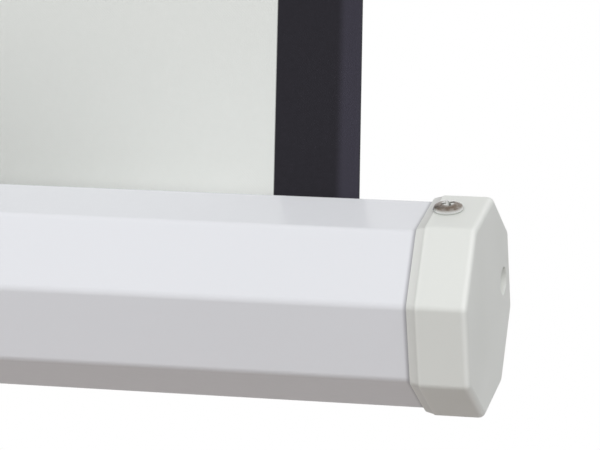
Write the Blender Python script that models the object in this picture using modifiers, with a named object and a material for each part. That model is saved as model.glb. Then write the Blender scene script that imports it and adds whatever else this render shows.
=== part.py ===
"""Portable projection screen on a folding tripod.

An octagonal steel case holds a spring roller. The matte fabric is drawn up out of the case and its
top slat hangs by a wire bail from the hook of a telescopic mast. The case slides and swivels on the
column, and three channel legs fold like an umbrella on a sliding collar.

World axes: +Z up, +Y away from the viewer, the column's axis upright. The origin is on the floor,
under the middle of the whole object. Everything is in metres.
"""

import math

import bmesh
import bpy
from mathutils import Matrix, Vector

for leftover in list(bpy.data.objects):
    bpy.data.objects.remove(leftover, do_unlink=True)

# Screen and fabric
VIEW_WIDTH = 1.270
VIEW_HEIGHT = 1.270
BORDER = 0.030
FABRIC_THICKNESS = 0.0006
END_MARGIN = 0.049

# Case
HOUSING_FLATS = 0.062
SHEET = 0.0009
HOUSING_BEND = 0.0053
BEND_STEPS = 5
SLOT_FRONT = 0.0165
SLOT_REAR_SHARE = 0.06
CAP_FLATS = 0.066
CAP_LENGTH = 0.0187
CAP_LIP = 0.0031
CAP_LIP_TAPER = 0.0010
CAP_END_WALL = 0.0055
CAP_FILLET = 0.0022
CAP_BOSS_RADIUS = 0.0085
CAP_BOSS_LENGTH = 0.010
CAP_BORE_FLOOR = 0.002
RECESS_RADIUS = 0.005
RECESS_DEPTH = 0.004
RECESS_BEHIND = 0.0240
RECESS_ABOVE = 0.0077
CAP_SCREW_INBOARD = 0.0108
CAP_SCREW_HEAD = 0.0050
CAP_SCREW_RISE = 0.0024
CAP_SCREW_SHANK = 0.0018
CAP_SCREW_LENGTH = 0.008
CAP_SCREW_POINT = 0.0015
CROSS_HALF_LENGTH = 0.0022
CROSS_HALF_WIDTH = 0.0005
CROSS_DEPTH = 0.0014
# Share of the head's radius and depth below its top, from the middle of the head to its rim
CAP_SCREW_DOME = [(0.5, 0.0002), (0.85, 0.0009), (1.0, 0.0018)]

# Roller
ROLLER_RADIUS = 0.019
ROLLER_WALL = 0.0008
ROLLER_OVERHANG = 0.010
ROLLER_PIN = 0.004
WOUND_THICKNESS = 0.0016
ARBOR_RADIUS = 0.006
ARBOR_REACH = 0.40
ARBOR_SQUARE = 0.0074
ARBOR_COLLAR = 0.040
ARBOR_EDGE = 0.002
SPRING_WIRE = 0.0008
SPRING_RADIUS = 0.0128
SPRING_TURNS = 14
SPRING_POINTS = 8
SPRING_START = 0.006
SPRING_END = 0.004
SLEEVE_LENGTH = 0.020
PLUG_DEPTH = 0.030
PLUG_FLANGE = 0.004

# Top slat and bail
SLAT_DEPTH = 0.018
SLAT_HEIGHT = 0.026
SLAT_WALL = 0.0015
SLAT_ROUND = 0.006
SLAT_OVERHANG = 0.006
SLAT_PLUG = 0.003
SLAT_PLUG_INSERT = 0.020
SLAT_ROUND_STEPS = 4
SLAT_PARKED = 0.030
BAIL_WIRE = 0.002
BAIL_HALF_WIDTH = 0.0185
BAIL_RISE = 0.016
BAIL_SETBACK = 0.003
BAIL_BEND = 0.003
BAIL_BEND_STEPS = 4
BAIL_EYE = 0.005
BAR_CLEARANCE = 0.0025
BRACKET_HALF_WIDTH = 0.015
BRACKET_DEPTH = 0.011

# Column and mast
COLUMN_RADIUS = 0.014
COLUMN_WALL = 0.0012
COLUMN_BOTTOM = 0.046
COLUMN_TOP = 1.450
COLUMN_PLUG_DEPTH = 0.030
COLUMN_PLUG_FOOT = 0.006
COLUMN_PLUG_EDGE = 0.002
MAST_RADIUS = 0.011
MAST_WALL = 0.001
MAST_OVERLAP = 0.130
GUIDE_INSERT = 0.020
GUIDE_SKIRT = 0.014
GUIDE_EDGE = 0.002
CASE_HEIGHT = 1.130
CASE_FORWARD = 0.066
FITTING_RADIUS = 0.0145
FITTING_SKIRT = 0.034
FITTING_CROWN = 0.008
# Inset from the side and depth below the top, across the rounded crown
FITTING_DOME = [(0.006, 0.0), (0.002, 0.002), (0.0, 0.006)]
HOOK_REACH = 0.027
HOOK_HALF_WIDTH = 0.006
HOOK_ROOT = 0.0025
HOOK_LIP = 0.0025
HOOK_LIP_RISE = 0.003
HOOK_TIP_DEPTH = 0.003
HOOK_SLOPE = 0.007
HOOK_DEPTH = 0.010
HOOK_EDGE = 0.0008
HOOK_EDGE_STEPS = 2
CLAMP_RADIUS = 0.017
CLAMP_SKIRT = 0.040
CLAMP_CROWN = 0.007
CARRIER_RADIUS = 0.020
CARRIER_HALF_HEIGHT = 0.030
CARRIER_FACE = 0.024
PIVOT_PAD_RADIUS = 0.018
PIVOT_RADIUS = 0.005
PIVOT_HEAD_RADIUS = 0.008
PIVOT_HEAD_HEIGHT = 0.003
SADDLE_HALF_LENGTH = 0.050
SADDLE_HALF_HEIGHT = 0.022
SADDLE_EDGE = 0.001
STUD_RADIUS = 0.003
BOSS_RADIUS = 0.009
BOSS_END = 0.028
KNOB_CLEARANCE = 0.002
KNOB_NECK = 0.004
KNOB_NECK_RADIUS = 0.0081
KNOB_FACE = 0.004
KNOB_EDGE = 0.002
KNOB_RADIUS = 0.019
KNOB_LOBES = 6
KNOB_LOBE_DEPTH = 0.0022
KNOB_THICKNESS = 0.015
KNOB_POINTS = 36

# Tripod
LEG_LENGTH = 0.640
BRACE_LENGTH = 0.280
LEG_SPREAD = math.radians(52.0)
FOOT_DROP = 0.009
FRONT_LEG_TURN = math.radians(20.0)
PIVOT_CIRCLE = 0.032
COLLAR_RADIUS = 0.0185
COLLAR_HALF_HEIGHT = 0.017
HUB_HALF_HEIGHT = 0.014
CHANNEL_WIDTH = 0.020
CHANNEL_DEPTH = 0.014
CHANNEL_SHEET = 0.0012
CHANNEL_BEND = 0.003
CHANNEL_HEAD = 0.007
TONGUE_HALF_WIDTH = 0.006
BRACE_HALF_DEPTH = 0.0051
BRACE_HALF_WIDTH = 0.0025
CHEEK = 0.004
CHEEK_ROUND = 0.006
ARM_ROOT = 0.002
SLOT_FLOOR = 0.001
SLOT_REACH = 0.020
RIVET_RADIUS = 0.0025
RIVET_HEAD = 0.0045
RIVET_HEAD_HEIGHT = 0.0015
RIVET_CROWN = 0.7
RIVET_STEPS = 12
FOOT_WALL = 0.0035
FOOT_GRIP = 0.034
FOOT_TOE = 0.012
FOOT_ROUND = 0.003

GAP = 0.0003
ROUND_STEPS = 24
HOLE_STEPS = 16
ARM_STEPS = 8
MOULD_EDGE = 0.001
MOULD_ROUND = 0.0015
# A tool that joins or cuts a part overlaps it by this much, or passes right through it
OVERLAP = 0.001
RIGHT_THROUGH = 1.0

# Places that follow from the sizes
EIGHTH = math.cos(math.radians(22.5))
FABRIC_WIDTH = VIEW_WIDTH + 2 * BORDER
CASE_LENGTH = FABRIC_WIDTH + 2 * END_MARGIN
HOUSING_CORNER = HOUSING_FLATS / 2 / EIGHTH
CAP_CORNER = CAP_FLATS / 2 / EIGHTH
ROLL_RADIUS = ROLLER_RADIUS + GAP + WOUND_THICKNESS
FABRIC_BEHIND = ROLL_RADIUS + GAP + FABRIC_THICKNESS / 2
FOOT_REACH = PIVOT_CIRCLE + LEG_LENGTH * math.sin(LEG_SPREAD)
COLUMN_Y = -FOOT_REACH * (1 - math.sin(FRONT_LEG_TURN)) / 2
LEG_DIRECTIONS = [math.pi / 2, -FRONT_LEG_TURN, math.pi + FRONT_LEG_TURN]
CASE_Y = COLUMN_Y - CASE_FORWARD
FABRIC_Y = CASE_Y + FABRIC_BEHIND
HUB_Z = FOOT_DROP + (LEG_LENGTH - 2 * BRACE_LENGTH) * math.cos(LEG_SPREAD)
COLLAR_Z = HUB_Z + 2 * BRACE_LENGTH * math.cos(LEG_SPREAD)
SLAT_BOTTOM = CASE_HEIGHT + SLAT_PARKED + VIEW_HEIGHT
SLAT_TOP = SLAT_BOTTOM + SLAT_HEIGHT
BAIL_PIVOT_Z = SLAT_TOP + GAP + BRACKET_DEPTH / 2
BAIL_BAR_Z = BAIL_PIVOT_Z + BAIL_RISE
BAR_FORWARD = CLAMP_RADIUS + BAIL_WIRE + BAR_CLEARANCE
BAIL_PIVOT_Y = FABRIC_Y + BAIL_SETBACK
BAIL_REACH = COLUMN_Y - BAR_FORWARD - BAIL_PIVOT_Y
HOOK_SEAT = BAIL_BAR_Z - BAIL_WIRE - GAP
FITTING_BOTTOM = HOOK_SEAT - FITTING_SKIRT / 2
MAST_TOP = FITTING_BOTTOM + FITTING_SKIRT
MAST_BOTTOM = COLUMN_TOP - MAST_OVERLAP
CLAMP_STUD_Z = COLUMN_TOP - CLAMP_SKIRT / 2

# Looks: colour, roughness, metallic
ENAMEL = ((0.72, 0.73, 0.74), 0.25, 0.0)
CAP_PLASTIC = ((0.68, 0.68, 0.65), 0.45, 0.0)
CLOTH_WHITE = ((0.80, 0.80, 0.79), 0.9, 0.0)
NICKEL = ((0.62, 0.60, 0.56), 0.3, 1.0)
BARE_ALUMINIUM = ((0.70, 0.70, 0.71), 0.35, 1.0)
STEEL = ((0.45, 0.45, 0.46), 0.4, 1.0)
DARK_PLASTIC = ((0.03, 0.03, 0.032), 0.5, 0.0)
RUBBER = ((0.02, 0.02, 0.02), 0.8, 0.0)

model = bpy.data.collections.new("tripod_projector_screen")
guides = bpy.data.collections.new("cutters_and_guides")
bpy.context.scene.collection.children.link(model)
bpy.context.scene.collection.children.link(guides)


def at(x, y, z):
    return Matrix.Translation((x, y, z))


def turn(degrees, axis):
    return Matrix.Rotation(math.radians(degrees), 4, axis)


# Local Z runs along world X, local X to the rear and local Y up
ALONG_X = Matrix(((0, 0, 1, 0), (1, 0, 0, 0), (0, 1, 0, 0), (0, 0, 0, 1)))
# Local Z runs to the rear, along world Y
ALONG_Y = turn(-90, "X")


def clean_mesh(bm, name):
    bmesh.ops.remove_doubles(bm, verts=bm.verts, dist=0.00001)
    bmesh.ops.recalc_face_normals(bm, faces=bm.faces)
    mesh = bpy.data.meshes.new(name)
    bm.to_mesh(mesh)
    bm.free()
    return mesh


def baked(shape):
    """The evaluated mesh of a helper object, which is then removed."""
    graph = bpy.context.evaluated_depsgraph_get()
    result = bpy.data.meshes.new_from_object(shape.evaluated_get(graph))
    bpy.data.objects.remove(shape, do_unlink=True)
    return result


def rod(radius, low, high, steps=ROUND_STEPS):
    """A solid cylinder, or a prism with few steps, along local Z."""
    bm = bmesh.new()
    bmesh.ops.create_cone(
        bm, cap_ends=True, segments=steps, radius1=radius, radius2=radius, depth=high - low
    )
    bmesh.ops.translate(bm, verts=bm.verts, vec=(0, 0, (low + high) / 2))
    return clean_mesh(bm, "rod")


def block(low, high, round_edge=0.0, steps=2):
    """A box between two corners, with rounded edges where a radius is given."""
    bm = bmesh.new()
    bmesh.ops.create_cube(bm, size=1.0)
    size = Vector(high) - Vector(low)
    bmesh.ops.scale(bm, verts=bm.verts, vec=size)
    bmesh.ops.translate(bm, verts=bm.verts, vec=(Vector(low) + Vector(high)) / 2)
    if round_edge:
        bmesh.ops.bevel(bm, geom=bm.edges[:], offset=round_edge, segments=steps, profile=0.5, affect="EDGES")
    return clean_mesh(bm, "block")


def turned(profile, ring=False, steps=ROUND_STEPS):
    """Points of (radius, height), down the outer side from the top, turned about local Z."""
    mesh = bpy.data.meshes.new("profile")
    edges = [(i, i + 1) for i in range(len(profile) - 1)]
    if ring:
        edges.append((len(profile) - 1, 0))
    mesh.from_pydata([(radius, 0, height) for radius, height in profile], edges, [])
    shape = bpy.data.objects.new("turned", mesh)
    guides.objects.link(shape)
    screw = shape.modifiers.new("Turn", "SCREW")
    screw.steps = steps
    screw.render_steps = steps
    screw.use_merge_vertices = True
    screw.merge_threshold = 0.00001
    return baked(shape)


def flat_curve(loops, low, high, closed):
    data = bpy.data.curves.new("outline", "CURVE")
    data.dimensions = "2D"
    data.fill_mode = "BOTH" if closed else "NONE"
    data.extrude = (high - low) / 2
    for loop in loops:
        spline = data.splines.new("POLY")
        spline.points.add(len(loop) - 1)
        for point, (x, y) in zip(spline.points, loop):
            point.co = (x, y, 0, 1)
        spline.use_cyclic_u = closed
    shape = bpy.data.objects.new("outline", data)
    guides.objects.link(shape)
    mesh = baked(shape)
    mesh.transform(at(0, 0, (low + high) / 2))
    bm = bmesh.new()
    bm.from_mesh(mesh)
    return bm


def prism(loops, low, high):
    """Closed outlines, the later ones holes, extruded along local Z."""
    return clean_mesh(flat_curve(loops, low, high, True), "prism")


def ribbon(path, low, high):
    """An open outline extruded along local Z into a surface without thickness."""
    bm = flat_curve([path], low, high, False)
    bmesh.ops.remove_doubles(bm, verts=bm.verts, dist=0.00001)
    mesh = bpy.data.meshes.new("ribbon")
    bm.to_mesh(mesh)
    bm.free()
    return mesh


def wire(points, radius, resolution=2):
    """A round wire along points in local space."""
    data = bpy.data.curves.new("wire", "CURVE")
    data.dimensions = "3D"
    data.bevel_depth = radius
    data.bevel_resolution = resolution
    data.use_fill_caps = True
    spline = data.splines.new("POLY")
    spline.points.add(len(points) - 1)
    for point, place in zip(spline.points, points):
        point.co = (*place, 1)
    shape = bpy.data.objects.new("wire", data)
    guides.objects.link(shape)
    bm = bmesh.new()
    bm.from_mesh(baked(shape))
    return clean_mesh(bm, "wire")


def eased(points, radius, steps=3, closed=False):
    """The same corners, each one rounded off over the given length of its two sides."""
    points = [Vector(point) for point in points]
    count = len(points)
    result = []
    for i, corner in enumerate(points):
        if not closed and i in (0, count - 1):
            result.append(tuple(corner))
            continue
        before = points[i - 1]
        after = points[(i + 1) % count]
        start = corner + (before - corner).normalized() * radius
        end = corner + (after - corner).normalized() * radius
        for step in range(steps + 1):
            t = step / steps
            result.append(tuple(start * (1 - t) ** 2 + corner * 2 * t * (1 - t) + end * t**2))
    return result


def circle(radius, x=0.0, y=0.0, steps=ROUND_STEPS):
    return [
        (x + radius * math.cos(2 * math.pi * i / steps), y + radius * math.sin(2 * math.pi * i / steps))
        for i in range(steps)
    ]


def stadium(start, end, radius, steps=8):
    """The outline of a bar from one height to another, round at both ends."""
    top = [(radius * math.cos(math.pi * i / steps), end + radius * math.sin(math.pi * i / steps))
           for i in range(steps + 1)]
    bottom = [(-radius * math.cos(math.pi * i / steps), start - radius * math.sin(math.pi * i / steps))
              for i in range(steps + 1)]
    return top + bottom


def tool(mesh, place):
    """A hidden solid that cuts or joins a part."""
    shape = bpy.data.objects.new("tool", mesh)
    shape.matrix_world = place
    shape.hide_render = True
    shape.display_type = "WIRE"
    guides.objects.link(shape)
    return shape


def boolean(part, mesh, place, operation="DIFFERENCE"):
    change = part.modifiers.new(operation.title(), "BOOLEAN")
    change.operation = operation
    change.solver = "EXACT"
    change.object = tool(mesh, place)


def joined(part, mesh, place):
    boolean(part, mesh, place, "UNION")


pivots = {}


def pivot(name, place, parent=None):
    """An empty on a joint's axis. Its pieces are parented to it."""
    empty = bpy.data.objects.new(name, None)
    empty.empty_display_size = 0.02
    guides.objects.link(empty)
    if parent:
        empty.parent = parent
        empty.matrix_parent_inverse = pivots[parent.name].inverted()
    empty.matrix_basis = place
    pivots[name] = place
    return empty


def piece(name, mesh, place, look, parent=None, smooth=30):
    """One named sub-part with its own material."""
    part = bpy.data.objects.new(name, mesh)
    model.objects.link(part)
    if parent:
        part.parent = parent
        part.matrix_parent_inverse = pivots[parent.name].inverted()
    part.matrix_basis = place
    colour, roughness, metallic = look
    material = bpy.data.materials.new(name)
    material.use_nodes = True
    shader = material.node_tree.nodes["Principled BSDF"]
    shader.inputs["Base Color"].default_value = (*colour, 1.0)
    shader.inputs["Roughness"].default_value = roughness
    shader.inputs["Metallic"].default_value = metallic
    mesh.materials.append(material)
    mesh.shade_smooth()
    mesh.set_sharp_from_angle(angle=math.radians(smooth))
    return part


def solidify(part, thickness, offset):
    wall = part.modifiers.new("Sheet", "SOLIDIFY")
    wall.thickness = thickness
    wall.offset = offset
    wall.use_even_offset = True


# Column, hub and clamp: the fixed part of the stand
def column_parts(stand):
    axis = at(0, COLUMN_Y, 0)
    stud_axis = at(0, COLUMN_Y, CLAMP_STUD_Z) @ ALONG_Y
    inner = COLUMN_RADIUS - COLUMN_WALL
    tube = piece(
        "column_tube",
        turned(
            [
                (COLUMN_RADIUS, COLUMN_TOP), (COLUMN_RADIUS, COLUMN_BOTTOM),
                (inner, COLUMN_BOTTOM), (inner, COLUMN_TOP),
            ],
            ring=True,
        ),
        axis, ENAMEL, stand,
    )
    boolean(tube, rod(STUD_RADIUS + GAP, 0, 2 * COLUMN_RADIUS, HOLE_STEPS), stud_axis)
    plug_low = COLUMN_BOTTOM - COLUMN_PLUG_FOOT
    piece(
        "column_plug",
        turned([
            (0, COLUMN_BOTTOM + COLUMN_PLUG_DEPTH), (inner - GAP, COLUMN_BOTTOM + COLUMN_PLUG_DEPTH),
            (inner - GAP, COLUMN_BOTTOM - GAP), (COLUMN_RADIUS, COLUMN_BOTTOM - GAP),
            (COLUMN_RADIUS, plug_low + COLUMN_PLUG_EDGE), (COLUMN_RADIUS - COLUMN_PLUG_EDGE, plug_low),
            (0, plug_low),
        ]),
        axis, DARK_PLASTIC, stand,
    )
    bore = COLUMN_RADIUS + GAP
    clamp_top = COLUMN_TOP + CLAMP_CROWN
    clamp_low = COLUMN_TOP - CLAMP_SKIRT
    mast_bore = MAST_RADIUS + GAP
    clamp = piece(
        "mast_clamp",
        turned(
            [
                (CLAMP_RADIUS - MOULD_ROUND, clamp_top), (CLAMP_RADIUS, clamp_top - MOULD_ROUND),
                (CLAMP_RADIUS, clamp_low + MOULD_EDGE), (CLAMP_RADIUS - MOULD_EDGE, clamp_low),
                (bore, clamp_low), (bore, COLUMN_TOP + GAP),
                (mast_bore, COLUMN_TOP + GAP), (mast_bore, clamp_top),
            ],
            ring=True,
        ),
        axis, CAP_PLASTIC, stand,
    )
    joined(clamp, rod(BOSS_RADIUS, COLUMN_RADIUS / 2, BOSS_END), stud_axis)
    boolean(clamp, rod(bore, clamp_low - OVERLAP, COLUMN_TOP + GAP), axis)
    boolean(clamp, rod(STUD_RADIUS + GAP, 0, 2 * BOSS_END, HOLE_STEPS), stud_axis)


def spoke(direction, height):
    """Local X runs out along a leg's direction, local Y up and local Z sideways."""
    return at(0, COLUMN_Y, height) @ Matrix.Rotation(direction, 4, "Z") @ turn(90, "X")


def arm_outline(root, tip, half_height):
    """A bar from the ring out to a round end, with the rivet's hole in it."""
    end = [
        (
            tip + half_height * math.sin(math.pi * i / ARM_STEPS),
            -half_height * math.cos(math.pi * i / ARM_STEPS),
        )
        for i in range(ARM_STEPS + 1)
    ]
    hole = circle(RIVET_RADIUS + GAP, tip, 0, RIVET_STEPS)
    return [[(root, half_height), (root, -half_height)] + end, hole]


def ring_with_bore(name, radius, half_height, height, look, parent):
    edge = MOULD_EDGE
    bore = COLUMN_RADIUS + GAP
    return piece(
        name,
        turned(
            [
                (radius - edge, half_height), (radius, half_height - edge), (radius, edge - half_height),
                (radius - edge, -half_height), (bore, -half_height), (bore, half_height),
            ],
            ring=True,
        ),
        at(0, COLUMN_Y, height), look, parent,
    )


def lower_hub(stand):
    hub = ring_with_bore("lower_hub", COLLAR_RADIUS, HUB_HALF_HEIGHT, HUB_Z, CAP_PLASTIC, stand)
    slot = BRACE_HALF_WIDTH + GAP
    for direction in LEG_DIRECTIONS:
        place = spoke(direction, HUB_Z)
        outline = arm_outline(COLUMN_RADIUS + ARM_ROOT, PIVOT_CIRCLE, CHEEK_ROUND)
        joined(hub, prism(outline, -slot - CHEEK, slot + CHEEK), place)
        gap = block(
            (COLLAR_RADIUS + SLOT_FLOOR, -SLOT_REACH, -slot), (PIVOT_CIRCLE + SLOT_REACH, SLOT_REACH, slot)
        )
        boolean(hub, gap, place)


def rivet(name, place, half_width, parent):
    """A headed rivet along local Z, centred on the joint."""
    seat = half_width + GAP
    top = seat + RIVET_HEAD_HEIGHT
    profile = [
        (0, top), (RIVET_HEAD * RIVET_CROWN, top), (RIVET_HEAD, seat + GAP), (RIVET_HEAD, seat),
        (RIVET_RADIUS, seat), (RIVET_RADIUS, -seat), (RIVET_HEAD, -seat),
        (RIVET_HEAD, -seat - GAP), (RIVET_HEAD * RIVET_CROWN, -top), (0, -top),
    ]
    piece(name, turned(profile, steps=RIVET_STEPS), place, STEEL, parent)


def channel_section():
    half_depth = CHANNEL_DEPTH / 2
    half_width = CHANNEL_WIDTH / 2
    corners = [
        (-half_depth, half_width, 0), (half_depth, half_width, 0),
        (half_depth, -half_width, 0), (-half_depth, -half_width, 0),
    ]
    return [point[:2] for point in eased(corners, CHANNEL_BEND)]


def leg_parts(number, direction, stand):
    """A brace, its channel leg and the rubber foot, each on the pivot that it turns about."""
    hub_pin = spoke(direction, HUB_Z) @ at(PIVOT_CIRCLE, 0, 0)
    head = spoke(direction, COLLAR_Z) @ at(PIVOT_CIRCLE, 0, 0)
    lean_out = math.sin(LEG_SPREAD)
    lean_up = math.cos(LEG_SPREAD)
    knee = hub_pin @ at(BRACE_LENGTH * lean_out, BRACE_LENGTH * lean_up, 0)
    slot = BRACE_HALF_WIDTH + GAP + CHEEK
    rivet(f"hub_rivet_{number}", hub_pin, slot, stand)

    brace_axis = pivot(f"brace_axis_{number}", hub_pin, stand)
    bar = [
        stadium(0, BRACE_LENGTH, BRACE_HALF_DEPTH),
        circle(RIVET_RADIUS + GAP, 0, 0, RIVET_STEPS),
        circle(RIVET_RADIUS + GAP, 0, BRACE_LENGTH, RIVET_STEPS),
    ]
    lean = Matrix.Rotation(-LEG_SPREAD, 4, "Z")
    bar_mesh = prism(bar, -BRACE_HALF_WIDTH, BRACE_HALF_WIDTH)
    piece(f"brace_{number}", bar_mesh, hub_pin @ lean, ENAMEL, brace_axis)
    rivet(f"knee_rivet_{number}", knee, CHANNEL_WIDTH / 2, brace_axis)

    leg_axis = pivot(f"knee_axis_{number}", knee, brace_axis)
    # In the leg's own space Z runs up the leg to the collar, X to its outer side and Y sideways
    down = head @ Matrix.Rotation(LEG_SPREAD, 4, "Z") @ turn(-90, "X")
    channel = ribbon(channel_section(), -LEG_LENGTH, CHANNEL_HEAD)
    leg = piece(f"leg_{number}", channel, down, ENAMEL, leg_axis)
    solidify(leg, CHANNEL_SHEET, -1)
    for height in (0, -BRACE_LENGTH):
        hole = rod(RIVET_RADIUS + GAP, -CHANNEL_WIDTH, CHANNEL_WIDTH, RIVET_STEPS)
        boolean(leg, hole, down @ at(0, 0, height) @ ALONG_Y)
    rivet(f"collar_rivet_{number}", head, CHANNEL_WIDTH / 2, leg_axis)

    half_depth = CHANNEL_DEPTH / 2 + GAP
    half_width = CHANNEL_WIDTH / 2 + GAP
    foot = piece(
        f"foot_{number}",
        block(
            (-half_depth - FOOT_WALL, -half_width - FOOT_WALL, -LEG_LENGTH - FOOT_TOE),
            (half_depth + FOOT_WALL, half_width + FOOT_WALL, FOOT_GRIP - LEG_LENGTH), FOOT_ROUND,
        ),
        down, RUBBER, leg_axis,
    )
    boolean(foot, block((-half_depth, -half_width, -LEG_LENGTH - GAP), (half_depth, half_width, 0)), down)
    below_floor = block((-RIGHT_THROUGH, -RIGHT_THROUGH, -RIGHT_THROUGH), (RIGHT_THROUGH, RIGHT_THROUGH, 0))
    boolean(foot, below_floor, Matrix.Identity(4))
    return leg_axis


def leg_collar(parent):
    axis = pivot("collar_axis", spoke(LEG_DIRECTIONS[0], COLLAR_Z) @ at(PIVOT_CIRCLE, 0, 0), parent)
    collar = ring_with_bore("leg_collar", COLLAR_RADIUS, COLLAR_HALF_HEIGHT, COLLAR_Z, CAP_PLASTIC, axis)
    for direction in LEG_DIRECTIONS:
        outline = arm_outline(COLUMN_RADIUS + ARM_ROOT, PIVOT_CIRCLE, BRACE_HALF_DEPTH)
        joined(collar, prism(outline, -TONGUE_HALF_WIDTH, TONGUE_HALF_WIDTH), spoke(direction, COLLAR_Z))


# Clamp screws with a lobed knob, for the mast and for the case's carrier
def clamp_screw(name, height, reach, parent):
    """The stud starts at its reach from the column's axis and the knob clears the boss."""
    place = at(0, COLUMN_Y, height) @ ALONG_Y
    axis = pivot(f"{name}_axis", place, parent)
    low = BOSS_END + KNOB_CLEARANCE
    high = low + KNOB_THICKNESS
    outline = []
    for i in range(KNOB_POINTS):
        angle = 2 * math.pi * i / KNOB_POINTS
        radius = KNOB_RADIUS - KNOB_LOBE_DEPTH * (1 - math.cos(KNOB_LOBES * angle)) / 2
        outline.append((radius * math.cos(angle), radius * math.sin(angle)))
    knob = piece(f"{name}_knob", prism([outline], low + KNOB_NECK, high), place, DARK_PLASTIC, axis)
    edge = knob.modifiers.new("Rim", "BEVEL")
    edge.width = KNOB_EDGE
    edge.segments = 2
    edge.limit_method = "ANGLE"
    edge.angle_limit = math.radians(60)
    joined(knob, rod(KNOB_NECK_RADIUS, low, high - KNOB_EDGE), place)
    boolean(knob, rod(STUD_RADIUS + GAP, 0, high - KNOB_FACE, HOLE_STEPS), place)
    stud = rod(STUD_RADIUS, reach + GAP, high - KNOB_FACE - GAP, HOLE_STEPS)
    piece(f"{name}_stud", stud, place, STEEL, axis)


# Telescopic mast with its hook
def mast_parts(stand):
    axis = pivot("mast_axis", at(0, COLUMN_Y, 0), stand)
    place = at(0, COLUMN_Y, 0)
    inner = MAST_RADIUS - MAST_WALL
    piece(
        "mast_tube",
        turned(
            [(MAST_RADIUS, MAST_TOP), (MAST_RADIUS, MAST_BOTTOM), (inner, MAST_BOTTOM), (inner, MAST_TOP)],
            ring=True,
        ),
        place, BARE_ALUMINIUM, axis,
    )
    guide = COLUMN_RADIUS - COLUMN_WALL - GAP
    guide_low = MAST_BOTTOM - GUIDE_SKIRT
    piece(
        "mast_guide",
        turned([
            (0, MAST_BOTTOM + GUIDE_INSERT), (inner - GAP, MAST_BOTTOM + GUIDE_INSERT),
            (inner - GAP, MAST_BOTTOM - GAP), (guide, MAST_BOTTOM - GAP), (guide, guide_low + GUIDE_EDGE),
            (guide - GUIDE_EDGE, guide_low), (0, guide_low),
        ]),
        place, DARK_PLASTIC, axis,
    )
    bore = MAST_RADIUS + GAP
    crown = MAST_TOP + FITTING_CROWN
    fitting = piece(
        "mast_top",
        turned([
            (0, crown), *((FITTING_RADIUS - inset, crown - depth) for inset, depth in FITTING_DOME),
            (FITTING_RADIUS, FITTING_BOTTOM + MOULD_EDGE), (FITTING_RADIUS - MOULD_EDGE, FITTING_BOTTOM),
            (bore, FITTING_BOTTOM), (bore, MAST_TOP + GAP), (0, MAST_TOP + GAP),
        ]),
        place, CAP_PLASTIC, axis,
    )
    lip = HOOK_REACH - HOOK_LIP
    root = FITTING_RADIUS - HOOK_ROOT
    outline = [
        (-root, HOOK_SEAT - HOOK_DEPTH, 0), (-root, HOOK_SEAT, 0), (-lip, HOOK_SEAT, 0),
        (-lip, HOOK_SEAT + HOOK_LIP_RISE, 0), (-HOOK_REACH, HOOK_SEAT + HOOK_LIP_RISE, 0),
        (-HOOK_REACH, HOOK_SEAT - HOOK_TIP_DEPTH, 0),
        (-HOOK_REACH + HOOK_SLOPE, HOOK_SEAT - HOOK_SLOPE, 0),
    ]
    hook = [point[:2] for point in eased(outline, HOOK_EDGE, HOOK_EDGE_STEPS, closed=True)]
    joined(fitting, prism([hook], -HOOK_HALF_WIDTH, HOOK_HALF_WIDTH), place @ ALONG_X)


# Carrier that slides on the column, and the swivel on it
def carrier_parts(carrier):
    place = at(0, COLUMN_Y, CASE_HEIGHT)
    edge = MOULD_ROUND
    body = piece(
        "case_carrier",
        turned([
            (0, CARRIER_HALF_HEIGHT), (CARRIER_RADIUS - edge, CARRIER_HALF_HEIGHT),
            (CARRIER_RADIUS, CARRIER_HALF_HEIGHT - edge), (CARRIER_RADIUS, edge - CARRIER_HALF_HEIGHT),
            (CARRIER_RADIUS - edge, -CARRIER_HALF_HEIGHT), (0, -CARRIER_HALF_HEIGHT),
        ]),
        place, CAP_PLASTIC, carrier,
    )
    forward = place @ turn(90, "X")
    rearward = place @ ALONG_Y
    joined(body, rod(PIVOT_PAD_RADIUS, COLUMN_RADIUS / 2, CARRIER_FACE), forward)
    joined(body, rod(BOSS_RADIUS, COLUMN_RADIUS / 2, BOSS_END), rearward)
    boolean(body, rod(COLUMN_RADIUS + GAP, -2 * CARRIER_HALF_HEIGHT, 2 * CARRIER_HALF_HEIGHT), place)
    boolean(body, rod(STUD_RADIUS + GAP, 0, 2 * BOSS_END, HOLE_STEPS), rearward)
    head_face = COLUMN_RADIUS + 2 * GAP
    boolean(body, rod(PIVOT_RADIUS + GAP, 0, 2 * CARRIER_FACE), forward)
    counterbore = head_face + PIVOT_HEAD_HEIGHT + GAP
    boolean(body, rod(PIVOT_HEAD_RADIUS + GAP, 0, counterbore), forward)
    saddle_back = CARRIER_FACE + GAP
    pin_end = CASE_FORWARD - HOUSING_CORNER - 3 * GAP
    piece(
        "swivel_pin",
        turned([
            (0, pin_end), (PIVOT_RADIUS, pin_end), (PIVOT_RADIUS, head_face + PIVOT_HEAD_HEIGHT),
            (PIVOT_HEAD_RADIUS, head_face + PIVOT_HEAD_HEIGHT), (PIVOT_HEAD_RADIUS, head_face),
            (0, head_face),
        ]),
        forward, STEEL, carrier,
    )
    return saddle_back


def octagon_corner(radius, degrees):
    return Vector((radius * math.cos(math.radians(degrees)), radius * math.sin(math.radians(degrees))))


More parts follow.
